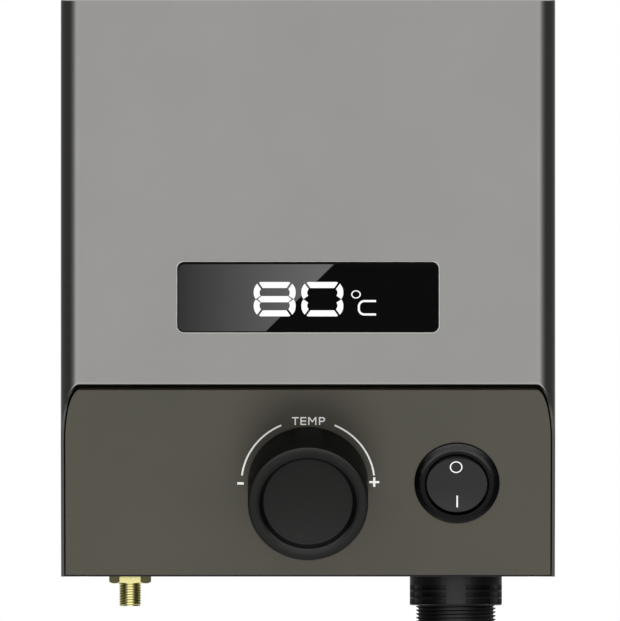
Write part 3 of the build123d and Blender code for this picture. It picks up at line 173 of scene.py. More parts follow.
# Node groups that several finishes share
def buildMouldGrain():
    inputs = {"Vector": (0, 0, 0), "Grain": 2500.0, "Clouds": 30.0}
    group, entry, leave = newGroup("mouldGrain", inputs, ["Height", "Cloud"])
    place, scale, clouds = entry.outputs["Vector"], entry.outputs["Grain"], entry.outputs["Clouds"]
    fine = times(group, addNoise(group, place, scale, 3.0, 0.6), 0.65)
    coarseScale = times(group, scale, 0.27)
    coarse = times(group, addNoise(group, place, coarseScale, 2.0), 0.35)
    group.links.new(plus(group, fine, coarse), leave.inputs["Height"])
    group.links.new(addNoise(group, place, clouds, 4.0), leave.inputs["Cloud"])
    return group


def buildBrushLines():
    inputs = {"Vector": (0, 0, 0), "Stretch": (1.0, 1.0, 0.02), "Lines": 1800.0}
    group, entry, leave = newGroup("brushLines", inputs, ["Height"])
    stretch = group.nodes.new("ShaderNodeVectorMath")
    stretch.operation = "MULTIPLY"
    group.links.new(entry.outputs["Vector"], stretch.inputs[0])
    group.links.new(entry.outputs["Stretch"], stretch.inputs[1])
    group.links.new(addNoise(group, stretch.outputs[0], entry.outputs["Lines"], 2.0, 0.7), leave.inputs["Height"])
    return group


def buildDustVeil():
    group, entry, leave = newGroup("dustVeil", {"Vector": (0, 0, 0), "Amount": 0.1}, ["Mask"])
    facing = group.nodes.new("ShaderNodeNewGeometry")
    parts = group.nodes.new("ShaderNodeSeparateXYZ")
    group.links.new(facing.outputs["Normal"], parts.inputs[0])
    upward = addMath(group, "POWER", addMath(group, "MAXIMUM", parts.outputs["Z"], 0.0), 3.0)
    specks = addNoise(group, entry.outputs["Vector"], 420.0, 5.0, 0.75)
    drift = addNoise(group, entry.outputs["Vector"], 22.0, 2.0)
    patchy = times(group, specks, plus(group, drift, 0.4))
    mask = times(group, times(group, patchy, upward), entry.outputs["Amount"], clamp=True)
    group.links.new(mask, leave.inputs["Mask"])
    return group


mouldGrain = buildMouldGrain()
brushLines = buildBrushLines()
dustVeil = buildDustVeil()


# One finish from its values: two tones, grain or brush lines, roughness and a veil of dust
def makeFinish(name, look):
    material = bpy.data.materials.new(name)
    material.use_nodes = True
    tree = material.node_tree
    shader = tree.nodes["Principled BSDF"]
    place = tree.nodes.new("ShaderNodeTexCoord").outputs["Object"]
    grain = useGroup(tree, mouldGrain, place, Grain=look.get("grainScale", 2500.0), Clouds=look.get("cloudScale", 30.0))
    height, cloud = grain["Height"], grain["Cloud"]
    if "brush" in look:
        lines = useGroup(tree, brushLines, place, Stretch=look["brush"], Lines=look.get("lineScale", 1800.0))
        height = plus(tree, times(tree, height, 0.3), times(tree, lines[0], 0.7))
    colour = addTint(tree, addRange(tree, cloud, (0.35, 0.65)), look["tone"], look["toneB"])
    if "speckle" in look:
        colour = addTint(tree, look["speckle"], colour, height, "MULTIPLY")
    if "dust" in look:
        veil = useGroup(tree, dustVeil, place, Amount=look["dust"])
        colour = addTint(tree, veil["Mask"], colour, (176, 171, 160))
    tree.links.new(colour, shader.inputs["Base Color"])
    mixed = plus(tree, times(tree, cloud, 0.5), times(tree, height, 0.5))
    tree.links.new(addRange(tree, mixed, (0.3, 0.7), look["roughness"]), shader.inputs["Roughness"])
    if look["bump"]:
        bump = tree.nodes.new("ShaderNodeBump")
        bump.inputs["Strength"].default_value = look["bump"]
        bump.inputs["Distance"].default_value = look.get("bumpDepth", 0.05) * mm
        tree.links.new(height, bump.inputs["Height"])
        tree.links.new(bump.outputs["Normal"], shader.inputs["Normal"])
    shader.inputs["Metallic"].default_value = look.get("metallic", 0.0)
    shader.inputs["Specular IOR Level"].default_value = look.get("specular", 0.5)
    if "glow" in look:
        shader.inputs["Emission Color"].default_value = srgb(*look["glow"])
        shader.inputs["Emission Strength"].default_value = look["glowStrength"]
    return material


finishes = {
    "coverPaint": {"tone": (150, 149, 147), "toneB": (147, 146, 144), "roughness": (0.16, 0.22), "metallic": 0.95,
                   "grainScale": 5200.0, "bump": 0.05, "dust": 0.1},
    "housingPaint": {"tone": (149, 148, 146), "toneB": (145, 144, 142), "roughness": (0.22, 0.3), "metallic": 0.9,
                     "grainScale": 4200.0, "bump": 0.08, "dust": 0.15},
    # The light band on the window rim's bevel is a painted highlight.
    "paintedRimHighlight": {"tone": (222, 221, 219), "toneB": (216, 215, 213), "roughness": (0.45, 0.55), "metallic": 0.15,
                 "bump": 0.05, "specular": 0.3},
    "shadowBlack": {"tone": (6, 6, 6), "toneB": (4, 4, 4), "roughness": (0.7, 0.8), "bump": 0.1, "specular": 0.1},
    # The pocket between cover and panel is darkened: painted shade of the gap.
    "pocketPaintedShade": {"tone": (38, 38, 36), "toneB": (34, 34, 32), "roughness": (0.5, 0.6), "bump": 0.1, "specular": 0.2},
    "panelPlastic": {"tone": (84, 81, 72), "toneB": (81, 79, 70), "roughness": (0.42, 0.52), "grainScale": 4200.0,
                     "bump": 0.12, "specular": 0.35},
    "knobPlastic": {"tone": (27, 27, 26), "toneB": (25, 25, 24), "roughness": (0.4, 0.48), "grainScale": 5200.0,
                    "bump": 0.08, "specular": 0.35, "dust": 0.03},
    # The knob's side wall and the cone of its dish get darker copies of its plastic: painted shade.
    "knobSidePaintedShade": {"tone": (9, 9, 8), "toneB": (7, 7, 6), "roughness": (0.5, 0.6), "grainScale": 5200.0,
                 "bump": 0.08, "specular": 0.05},
    "knobConePaintedShade": {"tone": (8, 8, 8), "toneB": (6, 6, 6), "roughness": (0.2, 0.26), "grainScale": 5200.0,
                 "bump": 0.05, "specular": 0.4},
    "switchPlastic": {"tone": (4, 4, 4), "toneB": (3, 3, 3), "roughness": (0.17, 0.23), "grainScale": 5200.0,
                      "bump": 0.06, "specular": 0.55},
    "rockerPlastic": {"tone": (46, 46, 47), "toneB": (43, 43, 44), "roughness": (0.34, 0.42), "grainScale": 5200.0,
                      "bump": 0.06, "specular": 0.45},
    "inletPlastic": {"tone": (17, 17, 17), "toneB": (13, 13, 13), "roughness": (0.3, 0.4), "grainScale": 4800.0,
                     "bump": 0.08, "specular": 0.5},
    "windowGlass": {"tone": (5, 5, 6), "toneB": (4, 4, 5), "roughness": (0.0, 0.003), "grainScale": 300.0,
                    "bump": 0.0, "specular": 0.5},
    "rubberSeal": {"tone": (20, 20, 20), "toneB": (16, 16, 16), "roughness": (0.6, 0.75), "grainScale": 3200.0,
                   "bump": 0.25, "specular": 0.3},
    # The white print glows faintly: painted light, so it stays bright where the panel lies in shade.
    "printWhitePaintedGlow": {"tone": (236, 236, 234), "toneB": (231, 231, 229), "roughness": (0.4, 0.5), "grainScale": 6000.0,
                   "bump": 0.05, "glow": (255, 255, 255), "glowStrength": 0.24},
    "litWhite": {"tone": (60, 60, 60), "toneB": (54, 54, 54), "roughness": (0.3, 0.4), "bump": 0.0,
                 "glow": (252, 252, 252), "glowStrength": 0.97},
    "goldPlate": {"tone": (252, 247, 180), "toneB": (247, 240, 168), "roughness": (0.12, 0.2), "metallic": 1.0,
                  "brush": (1.0, 1.0, 30.0), "lineScale": 900.0, "bump": 0.08},
    "brassBare": {"tone": (206, 172, 104), "toneB": (188, 152, 86), "roughness": (0.22, 0.36), "metallic": 1.0,
                  "brush": (1.0, 30.0, 1.0), "lineScale": 300.0, "bump": 0.2},
    "steelPlated": {"tone": (198, 198, 196), "toneB": (182, 182, 180), "roughness": (0.22, 0.34), "metallic": 1.0,
                    "bump": 0.15, "grainScale": 1800.0},
    "elementSheath": {"tone": (128, 124, 116), "toneB": (104, 96, 84), "roughness": (0.34, 0.5), "metallic": 1.0,
                      "brush": (1.0, 0.03, 1.0), "lineScale": 2200.0, "bump": 0.25, "cloudScale": 60.0},
    "wellSteel": {"tone": (186, 185, 182), "toneB": (170, 168, 162), "roughness": (0.22, 0.36), "metallic": 1.0,
                  "brush": (1.0, 0.03, 1.0), "lineScale": 2400.0, "bump": 0.2},
    "tankFibre": {"tone": (118, 128, 120), "toneB": (98, 110, 104), "roughness": (0.75, 0.9), "grainScale": 1300.0,
                  "bump": 0.5, "bumpDepth": 0.15, "speckle": 0.35},
    "insulationWhite": {"tone": (232, 230, 224), "toneB": (222, 219, 210), "roughness": (0.4, 0.55), "bump": 0.15},
    "boardGreen": {"tone": (24, 74, 48), "toneB": (20, 64, 42), "roughness": (0.3, 0.42), "bump": 0.2,
                   "grainScale": 1600.0},
    "castAlloy": {"tone": (168, 168, 168), "toneB": (150, 150, 150), "roughness": (0.4, 0.55), "metallic": 1.0,
                  "bump": 0.3, "grainScale": 1500.0},
    "packageBlack": {"tone": (30, 30, 31), "toneB": (25, 25, 26), "roughness": (0.45, 0.6), "bump": 0.2},
    "capacitorSleeve": {"tone": (28, 34, 52), "toneB": (24, 29, 45), "roughness": (0.25, 0.35), "bump": 0.1},
    "leadSheath": {"tone": (44, 44, 46), "toneB": (36, 36, 38), "roughness": (0.4, 0.55), "bump": 0.2},
}
finish = {name: makeFinish(name, look) for name, look in finishes.items()}
print("finishes made:", len(finish))


# Pieces start from a bmesh in mm that is put at its place, or from a merged copy of a node
def copyOfNode(name, flat=0.2):
    shape = bmesh.new()
    shape.from_mesh(nodes[name].data)
    bmesh.ops.remove_doubles(shape, verts=shape.verts, dist=0.001 * mm)
    bmesh.ops.dissolve_limit(shape, angle_limit=radians(flat), verts=shape.verts, edges=shape.edges)
    return shape


def putAt(shape, place):
    bmesh.ops.transform(shape, matrix=place @ Matrix.Scale(mm, 4), verts=shape.verts)
    bmesh.ops.recalc_face_normals(shape, faces=shape.faces)
    return shape


# Each vertex with its spot on a place, in mm, and the spot's distance from the place's axis
def spotsOn(shape, place):
    for vert in shape.verts:
        spot = (place.inverted() @ vert.co) / mm
        yield vert, spot, spot.xy.length


# Sharp edges of a shape whose middle, in mm, passes a test are rounded
def roundEdges(shape, width, chosen, segments=6, sharp=35):
    edges = []
    for edge in shape.edges:
        middle = (edge.verts[0].co + edge.verts[1].co) / (2 * mm)
        if len(edge.link_faces) == 2 and edge.calc_face_angle(0.0) > radians(sharp) and chosen(middle):
            edges.append(edge)
    bmesh.ops.bevel(
        shape, geom=edges, offset=width * mm, offset_type="OFFSET", segments=segments, profile=0.5, affect="EDGES",
        clamp_overlap=True, material=-1,
    )


# Large flat faces are shaded flat, and the rounded edges beside them run out into them
def evenNormals(mesh, sharp, large=15.0):
    around = [[] for _ in mesh.vertices]
    for face in mesh.polygons:
        straight = max(max(abs(part) for part in face.normal), abs(face.normal.dot(panelOut))) > aligned
        face.use_smooth = not (straight and face.area > large * mm * mm)
        for index in face.vertices:
            around[index].append(face)
    normals = []
    for face in mesh.polygons:
        for index in face.vertices:
            normal = Vector((0, 0, 0))
            if face.use_smooth:
                for other in around[index]:
                    if other.normal.dot(face.normal) > cos(radians(sharp)):
                        normal += other.normal * other.area
            normals.append(normal.normalized())
    mesh.normals_split_custom_set(normals)


def makePiece(name, shape, material, replaced=(), body="head", sharp=32, bevel=0.0, segments=2, even=False,
              accents=()):
    mesh = bpy.data.meshes.new(name)
    shape.to_mesh(mesh)
    shape.free()
    mesh.materials.append(finish[material])
    mesh.shade_smooth()
    mesh.set_sharp_from_angle(angle=radians(sharp))
    if even:
        evenNormals(mesh, sharp)
    for place, (accent, chosen) in enumerate(accents, start=1):
        mesh.materials.append(finish[accent])
        for face in mesh.polygons:
            if chosen(face.center / mm, face.normal):
                face.material_index = place
    piece = addObject(name, mesh)
    if bevel:
        edge = piece.modifiers.new("edgeRound", "BEVEL")
        edge.width = bevel * mm
        edge.segments = segments
        edge.limit_method = "ANGLE"
        edge.angle_limit = radians(35)
        flatten = piece.modifiers.new("evenNormals", "WEIGHTED_NORMAL")
        flatten.keep_sharp = True
    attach(piece, body)
    if replaced:
        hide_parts(*replaced)


# Nodes that are only given softened edges, by the piece's name: node, finish, slot, bevel and its segments
def dressNodes(table):
    for name, (node, material, slot, bevel, segments) in table.items():
        makePiece(name, copyOfNode(node), material, [node], bevel=bevel, segments=segments)


# Profile of (radius, height) points turned round the place's axis
def turnProfile(shape, points, steps):
    verts = [shape.verts.new((radius, 0, height)) for radius, height in points]
    edges = [shape.edges.new(pair) for pair in zip(verts, verts[1:])]
    bmesh.ops.spin(
        shape, geom=verts + edges, cent=(0, 0, 0), axis=(0, 0, 1), dvec=(0, 0, 0), angle=2 * pi, steps=steps,
        use_merge=True,
    )
    bmesh.ops.remove_doubles(shape, verts=shape.verts, dist=0.0005)


# Points of a rounded corner between two sides of a profile
def roundCorner(centre, radius, start, end, count):
    angles = [radians(start + (end - start) * step / count) for step in range(count + 1)]
    return [(centre[0] + radius * cos(angle), centre[1] + radius * sin(angle)) for angle in angles]


# Closed ring with a helical thread outside, made in mm round the Z axis
def makeThread(thread):
    crest, root, bore = thread["crest"], thread["root"], thread["bore"]
    low, high, pitch, steps = thread["low"], thread["high"], thread["pitch"], thread["steps"]
    flat = thread["flat"] * pitch
    turns = int((high - low) / pitch) + 3
    part = bmesh.new()
    start = low - 1.5 * pitch
    profile = [(root, start), (root, start + flat), (crest, start + pitch / 2 - flat / 2),
               (crest, start + pitch / 2 + flat / 2), (root, start + pitch)]
    verts = [part.verts.new((radius, 0, height)) for radius, height in profile]
    edges = [part.edges.new(pair) for pair in zip(verts, verts[1:])]
    bmesh.ops.spin(
        part, geom=verts + edges, cent=(0, 0, 0), axis=(0, 0, 1), dvec=(0, 0, pitch / steps),
        angle=2 * pi * turns, steps=turns * steps,
    )
    bmesh.ops.remove_doubles(part, verts=part.verts, dist=0.001)
    for height, below in ((low, True), (high, False)):
        bmesh.ops.bisect_plane(
            part, geom=part.verts[:] + part.edges[:] + part.faces[:], dist=0.0001, plane_co=(0, 0, height),
            plane_no=(0, 0, 1), clear_inner=below, clear_outer=not below,
        )
    # The crest runs out over a chamfer at each end
    for vert in part.verts:
        radius = vert.co.xy.length
        limit = min(
            crest - thread["chamferLow"] + (vert.co.z - low),
            crest - thread["chamferHigh"] + (high - vert.co.z),
        )
        if radius > max(limit, root):
            vert.co.xy *= max(limit, root) / radius
    ends = [edge for edge in part.edges if edge.is_boundary]
    grown = bmesh.ops.extrude_edge_only(part, edges=ends)["geom"]
    for vert in (item for item in grown if isinstance(item, bmesh.types.BMVert)):
        vert.co.xy *= bore / vert.co.xy.length
    bmesh.ops.bridge_loops(part, edges=[edge for edge in part.edges if edge.is_boundary])
    return part


# A threaded node is drawn in to its core and gets a thread round it
def makeThreaded(pieceName, threadName, node, place, look, material, bevel, segments=2):
    shape = copyOfNode(node)
    for vert, spot, radius in spotsOn(shape, place):
        if radius > look["coreAbove"] and spot.z > look["coreFrom"]:
            spot.xy *= look["core"] / radius
            vert.co = place @ (spot * mm)
    makePiece(pieceName, shape, material, [node], bevel=bevel, segments=segments)
    makePiece(threadName, putAt(makeThread(look["thread"]), place), material, [node])


# Flat marks, each a set of faces in mm that is then given a thickness
def addBar(shape, x, y, width, height):
    place = Matrix.Translation((x, y, 0)) @ Matrix.Diagonal((width, height, 1, 1))
    bmesh.ops.create_grid(shape, x_segments=1, y_segments=1, size=0.5, matrix=place)


def addOutline(shape, points):
    return shape.faces.new([shape.verts.new((x, y, 0)) for x, y in points])


def addArc(shape, centre, radius, stroke, start, end, steps, squeeze=1.0):
    part = bmesh.new()
    ends = [part.verts.new((radius + side * stroke / 2, 0, 0)) for side in (-1, 1)]
    line = part.edges.new(ends)
    bmesh.ops.rotate(part, cent=(0, 0, 0), matrix=Matrix.Rotation(radians(start), 3, "Z"), verts=ends)
    bmesh.ops.spin(
        part, geom=ends + [line], cent=(0, 0, 0), axis=(0, 0, 1), dvec=(0, 0, 0), angle=radians(end - start),
        steps=steps, use_merge=end - start == 360,
    )
    place = Matrix.Translation((*centre, 0)) @ Matrix.Diagonal((1, squeeze, 1, 1))
    bmesh.ops.transform(part, matrix=place, verts=part.verts)
    mesh = bpy.data.meshes.new("arcPart")
    part.to_mesh(mesh)
    part.free()
    shape.from_mesh(mesh)
    bpy.data.meshes.remove(mesh)


def thicken(shape, low, high):
    bmesh.ops.remove_doubles(shape, verts=shape.verts, dist=0.001)
    bmesh.ops.translate(shape, vec=(0, 0, low), verts=shape.verts)
    top = bmesh.ops.extrude_face_region(shape, geom=shape.faces[:], use_keep_orig=True)["geom"]
    raised = [item for item in top if isinstance(item, bmesh.types.BMVert)]
    bmesh.ops.translate(shape, vec=(0, 0, high - low), verts=raised)


# Camera: a long lens straight in front, as the photograph was taken
cameraLook = {"distance": 8.3, "frameWidth": 0.1807, "sensor": 36.0, "x": 0.000583, "z": -0.0065, "eyeZ": -0.05535}
cameraRise = cameraLook["z"] - cameraLook["eyeZ"]
cameraData = bpy.data.cameras.new("camera")
cameraData.sensor_width = cameraLook["sensor"]
cameraData.lens = cameraLook["sensor"] * cameraLook["distance"] / cameraLook["frameWidth"]
cameraData.clip_start = 0.1
cameraData.clip_end = 200.0
camera = addObject("camera", cameraData)
camera.location = (cameraLook["x"], head["frontY"] * mm - cameraLook["distance"], cameraLook["eyeZ"])
camera.rotation_euler = (pi / 2 + atan(cameraRise / cameraLook["distance"]), 0, 0)
scene.camera = camera
scene.view_settings.view_transform = "Standard"


# Studio: bright in front and above, dark at the sides and below, with a cut softbox that the window shows.
# "around" gives the brightness at eye level by the turn from the front, as a share of a half turn.
studio = {
    "around": [(0.0, 1.0), (0.03, 1.12), (0.08, 1.16), (0.12, 1.02), (0.155, 0.75), (0.19, 0.45), (0.23, 0.25),
               (0.28, 0.1), (0.34, 0.03), (0.5, 0.04), (0.62, 0.07), (0.75, 0.14), (0.86, 0.35), (1.0, 0.7)],
    "under": [(0.0, 0.24), (0.16, 0.22), (0.26, 0.04), (0.55, 0.04), (0.68, 0.6), (1.0, 0.75)],
    "lift": [(0.0, 1.3), (0.16, 1.3), (0.3, 1.0), (1.0, 1.0)],
    "overhead": [(0.0, 1.0), (0.3, 1.0), (0.4, 1.4), (0.8, 1.4), (0.97, 1.9), (1.0, 1.9)],
    "liftFrom": (0.08, 0.22), "aboveFrom": (0.14, 0.34), "behindFrom": (0.5, 0.6), "underFrom": (0.34, 0.5),
    "underBackFrom": (0.08, 0.22),
    "below": 0.24, "belowFrom": (0.8, 0.95), "plain": 0.5,
    "glareFrame": 90.0, "glareSlope": 0.984, "glareRise": 6.65, "glareStart": (-39.0, 3.5),
    "glareLevel": (0.75, 3.3), "glareDark": 0.06, "glareSoft": (-0.2, 0.2),
}


def buildStudio():
    world = bpy.data.worlds.new("studio")
    scene.world = world
    world.use_nodes = True
    tree = world.node_tree
    direction = tree.nodes.new("ShaderNodeTexCoord").outputs["Generated"]
    parts = tree.nodes.new("ShaderNodeSeparateXYZ")
    tree.links.new(direction, parts.inputs[0])
    x, y, z = parts.outputs
    forward = times(tree, y, -1.0)
    around = addMath(tree, "DIVIDE", addMath(tree, "ARCTAN2", addMath(tree, "ABSOLUTE", x), forward), pi)
    level = addCurve(tree, studio["around"], around)
    down = times(tree, z, -1.0)
    # Just below eye level the front is a little brighter, and further down it is dark
    lifted = times(tree, level, addCurve(tree, studio["lift"], around))
    level = addMix(tree, addRange(tree, down, studio["liftFrom"]), level, lifted)
    behind = addRange(tree, around, studio["behindFrom"])
    frontFade = addRange(tree, down, studio["underFrom"])
    backFade = addRange(tree, down, studio["underBackFrom"])
    level = addMix(tree, addMix(tree, behind, frontFade, backFade), level, addCurve(tree, studio["under"], around))
    level = addMix(tree, addRange(tree, down, studio["belowFrom"]), level, studio["below"])
    level = addMix(tree, addRange(tree, z, studio["aboveFrom"]), level, addCurve(tree, studio["overhead"], z))
    # The glare of the window: a softbox cut off along a slanting edge, placed in mm as the camera sees the glass
    reach = addMath(tree, "DIVIDE", cameraLook["distance"] / mm, addMath(tree, "MAXIMUM", forward, 0.001))
    across = times(tree, x, reach)
    rise = addMath(tree, "SUBTRACT", times(tree, z, reach), cameraRise / mm)
    slant = plus(tree, times(tree, across, studio["glareSlope"]), studio["glareRise"])
    lit = addRange(tree, addMath(tree, "SUBTRACT", rise, slant), studio["glareSoft"])
    glow = addRange(tree, across, studio["glareStart"], studio["glareLevel"])
    glare = addMix(tree, lit, studio["glareDark"], glow)
    spread = addMath(tree, "MAXIMUM", addMath(tree, "ABSOLUTE", across), addMath(tree, "ABSOLUTE", rise))
    inFront = times(tree, addMath(tree, "LESS_THAN", spread, studio["glareFrame"]),
                      addMath(tree, "GREATER_THAN", forward, 0.0))
    level = addMix(tree, inFront, level, glare)
    # The camera sees plain white, metal and glass see the studio, and the rest is lit by a plain level
    rays = tree.nodes.new("ShaderNodeLightPath").outputs
    mirrored = addMath(tree, "MAXIMUM", rays["Is Glossy Ray"], rays["Is Transmission Ray"])
    surface = tree.nodes["Background"]
    surface.inputs["Color"].default_value = (1.0, 1.0, 1.0, 1.0)
    strength = addMix(tree, mirrored, studio["plain"], level)
    tree.links.new(addMix(tree, rays["Is Camera Ray"], strength, 1.0), surface.inputs["Strength"])


buildStudio()

# Most of the light comes softly from low in front, as from a bright table
lamps = {
    "tableLamp": {"at": (0.0, -1.15, -1.45), "size": 1.2, "power": 20.0},
    "upperLamp": {"at": (-0.5, -1.6, 0.9), "size": 1.0, "power": 2.5},
    "rearLamp": {"at": (0.6, 1.4, 0.9), "size": 1.0, "power": 10.0},
}
for name, lamp in lamps.items():
    data = bpy.data.lights.new(name, "AREA")
    data.shape = "DISK"
    data.size = lamp["size"]
    data.energy = lamp["power"]
    light = addObject(name, data)
    light.location = lamp["at"]
    light.rotation_mode = "QUATERNION"
    light.rotation_quaternion = Vector(lamp["at"]).to_track_quat("Z", "Y")
    light.visible_glossy = False

# Floor: pale, white to the camera where it is lit, darker where the object shades it
floorLook = {"height": -0.165, "centreY": 0.1, "radius": 0.75, "colour": (236, 236, 234), "glow": 0.5,
             "roughness": 0.9, "specular": 0.1}
floorShape = bmesh.new()
bmesh.ops.create_circle(floorShape, cap_ends=True, segments=96, radius=floorLook["radius"])
for face in floorShape.faces:
    if face.normal.z < 0:
        face.normal_flip()
bmesh.ops.translate(floorShape, vec=(0, floorLook["centreY"], floorLook["height"]), verts=floorShape.verts)
floorMesh = bpy.data.meshes.new("floor")
floorShape.to_mesh(floorMesh)
floorShape.free()
floor = addObject("floor", floorMesh)
floor.visible_glossy = False
floor.visible_shadow = False
floorMaterial = bpy.data.materials.new("floorPale")
floorMaterial.use_nodes = True
floorTree = floorMaterial.node_tree
floorShader = floorTree.nodes["Principled BSDF"]
floorShader.inputs["Base Color"].default_value = srgb(*floorLook["colour"])
floorShader.inputs["Roughness"].default_value = floorLook["roughness"]
floorShader.inputs["Specular IOR Level"].default_value = floorLook["specular"]
floorShader.inputs["Emission Color"].default_value = (1, 1, 1, 1)
floorRay = floorTree.nodes.new("ShaderNodeLightPath")
floorGlow = times(floorTree, floorRay.outputs["Is Camera Ray"], floorLook["glow"])
floorTree.links.new(floorGlow, floorShader.inputs["Emission Strength"])
# Seen from below it is clear, so that it doesn't hide the object
floorBack = floorTree.nodes.new("ShaderNodeNewGeometry")
floorClear = floorTree.nodes.new("ShaderNodeBsdfTransparent")
floorMix = floorTree.nodes.new("ShaderNodeMixShader")
for place, source in enumerate((floorBack.outputs["Backfacing"], floorShader.outputs[0], floorClear.outputs[0])):
    floorTree.links.new(source, floorMix.inputs[place])
floorTree.links.new(floorMix.outputs[0], floorTree.nodes["Material Output"].inputs["Surface"])
floorMesh.materials.append(floorMaterial)
print("camera, studio and floor set")

# Front cover: its lower edge is drawn in over a narrow lip, and its openings are softened.
# The lip gives how far the surface is drawn in, in mm, by the depth behind the panel's plane.
coverLook = {"depth": 60.0, "cornerRadius": 5.5, "windowEdge": 0.36, "rimEdge": 0.3, "footEdge": 0.3,
             "lip": ((0.0, 0.42), (0.012, 0.25), (0.024, 0.165), (0.042, 0.1), (0.064, 0.064), (0.17, 0.014),
                     (0.21, 0.003), (0.24, 0.0)),
             "sideShare": 0.3, "windowBox": (39.0, -13.7, 7.8), "windowRim": 0.3, "rimFacing": (-0.99, -0.1),
             "windowInside": (0.25, 2.5), "seam": (0.0005, 0.036), "seamBack": -111.0, "seamFacing": 0.9,
             "pocket": (0.3, 8.0), "pocketTop": -28.0, "pocketSide": 71.3, "pocketBack": -90.0}
panelPoint = panelPlace.translation


def panelDepth(spot):
    return -panelOut.dot(spot - panelPoint / mm)


def lipInset(depth):
    for (start, first), (end, last) in zip(coverLook["lip"], coverLook["lip"][1:]):
        if start <= depth <= end:
            return first + (last - first) * (depth - start) / (end - start)
    return 0.0


def drawInLip(shape):
    strips = [face for face in shape.faces
              if face.normal.dot(panelOut) > aligned and abs(panelDepth(face.calc_center_median() / mm)) < near]
    bmesh.ops.triangulate(shape, faces=strips)
    for depth, _ in coverLook["lip"][1:]:
        bmesh.ops.bisect_plane(
            shape, geom=shape.verts[:] + shape.edges[:] + shape.faces[:], dist=0.002 * mm,
            plane_co=panelPoint - panelOut * depth * mm, plane_no=panelOut,
        )
    cornerX = head["halfWidth"] - coverLook["cornerRadius"]
    cornerY = head["frontY"] + coverLook["cornerRadius"]
    for vert in shape.verts:
        spot = vert.co / mm
        depth = panelDepth(spot)
        if not -near < depth < coverLook["lip"][-1][0] + near:
            continue
        # Outward on the front, on a rounded upright edge or on a side
        outward = Vector((max(abs(spot.x) - cornerX, 0.0) * (1 if spot.x > 0 else -1), min(spot.y - cornerY, 0.0), 0))
        if abs(outward.length - coverLook["cornerRadius"]) < near:
            outward.normalize()
            share = coverLook["sideShare"] + (1 - coverLook["sideShare"]) * abs(outward.y)
            vert.co -= outward * lipInset(max(depth, 0.0)) * share * mm


def nearWindow(spot):
    reach, low, high = coverLook["windowBox"]
    return abs(spot.x) < reach and low < spot.z < high


def windowRim(spot, normal):
    low, high = coverLook["rimFacing"]
    return nearWindow(spot) and spot.y < head["frontY"] + coverLook["windowRim"] and low < normal.y < high


def windowInside(spot, normal):
    start, end = coverLook["windowInside"]
    return nearWindow(spot) and start < spot.y - head["frontY"] < end


def panelPocket(spot, normal):
    start, end = coverLook["pocket"]
    inside = spot.z < coverLook["pocketTop"] and abs(spot.x) < coverLook["pocketSide"]
    return start < panelDepth(spot) < end and inside and spot.y < coverLook["pocketBack"]


def seamShade(spot, normal):
    start, end = coverLook["seam"]
    turned = normal.dot(panelOut) < coverLook["seamFacing"]
    return start < panelDepth(spot) < end and turned and spot.y < coverLook["seamBack"]


# The outer edges of both shells where they meet, and the cover's foot
def outerEdge(spot, y):
    outside = abs(spot.x) > head["halfWidth"] - head["sideBand"] or spot.z > head["topZ"] - head["sideBand"]
    return abs(spot.y - y) < near and outside


def footEdge(spot):
    return spot.z < head["bottomZ"] + near and abs(spot.x) > head["halfWidth"] - head["sideBand"]


coverShape = copyOfNode("front_cover")
coverRim = head["frontY"] + coverLook["depth"]
roundEdges(coverShape, coverLook["windowEdge"], lambda spot: abs(spot.y - head["frontY"]) < near)
roundEdges(coverShape, coverLook["rimEdge"], lambda spot: outerEdge(spot, coverRim))
roundEdges(coverShape, coverLook["footEdge"], footEdge)
drawInLip(coverShape)
# The window rim's bevel gets a painted highlight, and the pocket under the lip, the window's inside and the seam get
# painted shade
makePiece(
    "frontCover", coverShape, "coverPaint", ["front_cover"], sharp=18, even=True,
    accents=[("paintedRimHighlight", windowRim), ("shadowBlack", windowInside), ("pocketPaintedShade", panelPocket),
             ("shadowBlack", seamShade)],
)

# Rear housing: its rim and the edges of its rear side softened
housingLook = {"rimY": -52.0, "rearY": -17.0, "edge": 0.3}
housingShape = copyOfNode("rear_housing")
roundEdges(housingShape, housingLook["edge"], lambda spot: outerEdge(spot, housingLook["rimY"]))
roundEdges(housingShape, housingLook["edge"], lambda spot: spot.y > housingLook["rearY"] - near)
makePiece("rearHousing", housingShape, "housingPaint", ["rear_housing"], sharp=18, even=True)

# Plate, panel, glass, gaskets and screws, with their edges softened
panelShape = copyOfNode("control_panel")
panelLook = {"topFrom": 25.5, "drop": 0.08, "edge": 0.12}
for vert, spot, radius in spotsOn(panelShape, panelPlace):
    if spot.y > panelLook["topFrom"]:
        vert.co -= panelPlace.to_3x3().col[1] * panelLook["drop"] * mm
makePiece("controlPanel", panelShape, "panelPlastic", ["control_panel"], bevel=panelLook["edge"],
          segments=3)
dressNodes({
    "bottomPlate": ("bottom_plate", "packageBlack", "housing_finish", 0.2, 3),
    "displayWindow": ("display_window", "windowGlass", "window_glass", 0.2, 3),
    "housingGasket": ("housing_gasket", "rubberSeal", "gasket_rubber", 0.15, 3),
    "tankSeal": ("tank_seal", "tankFibre", "tank_seal_fibre", 0.35, 3),
    "housingScrews": ("housing_screws", "steelPlated", "metal_steel", 0.25, 3),
})
print("shells made")

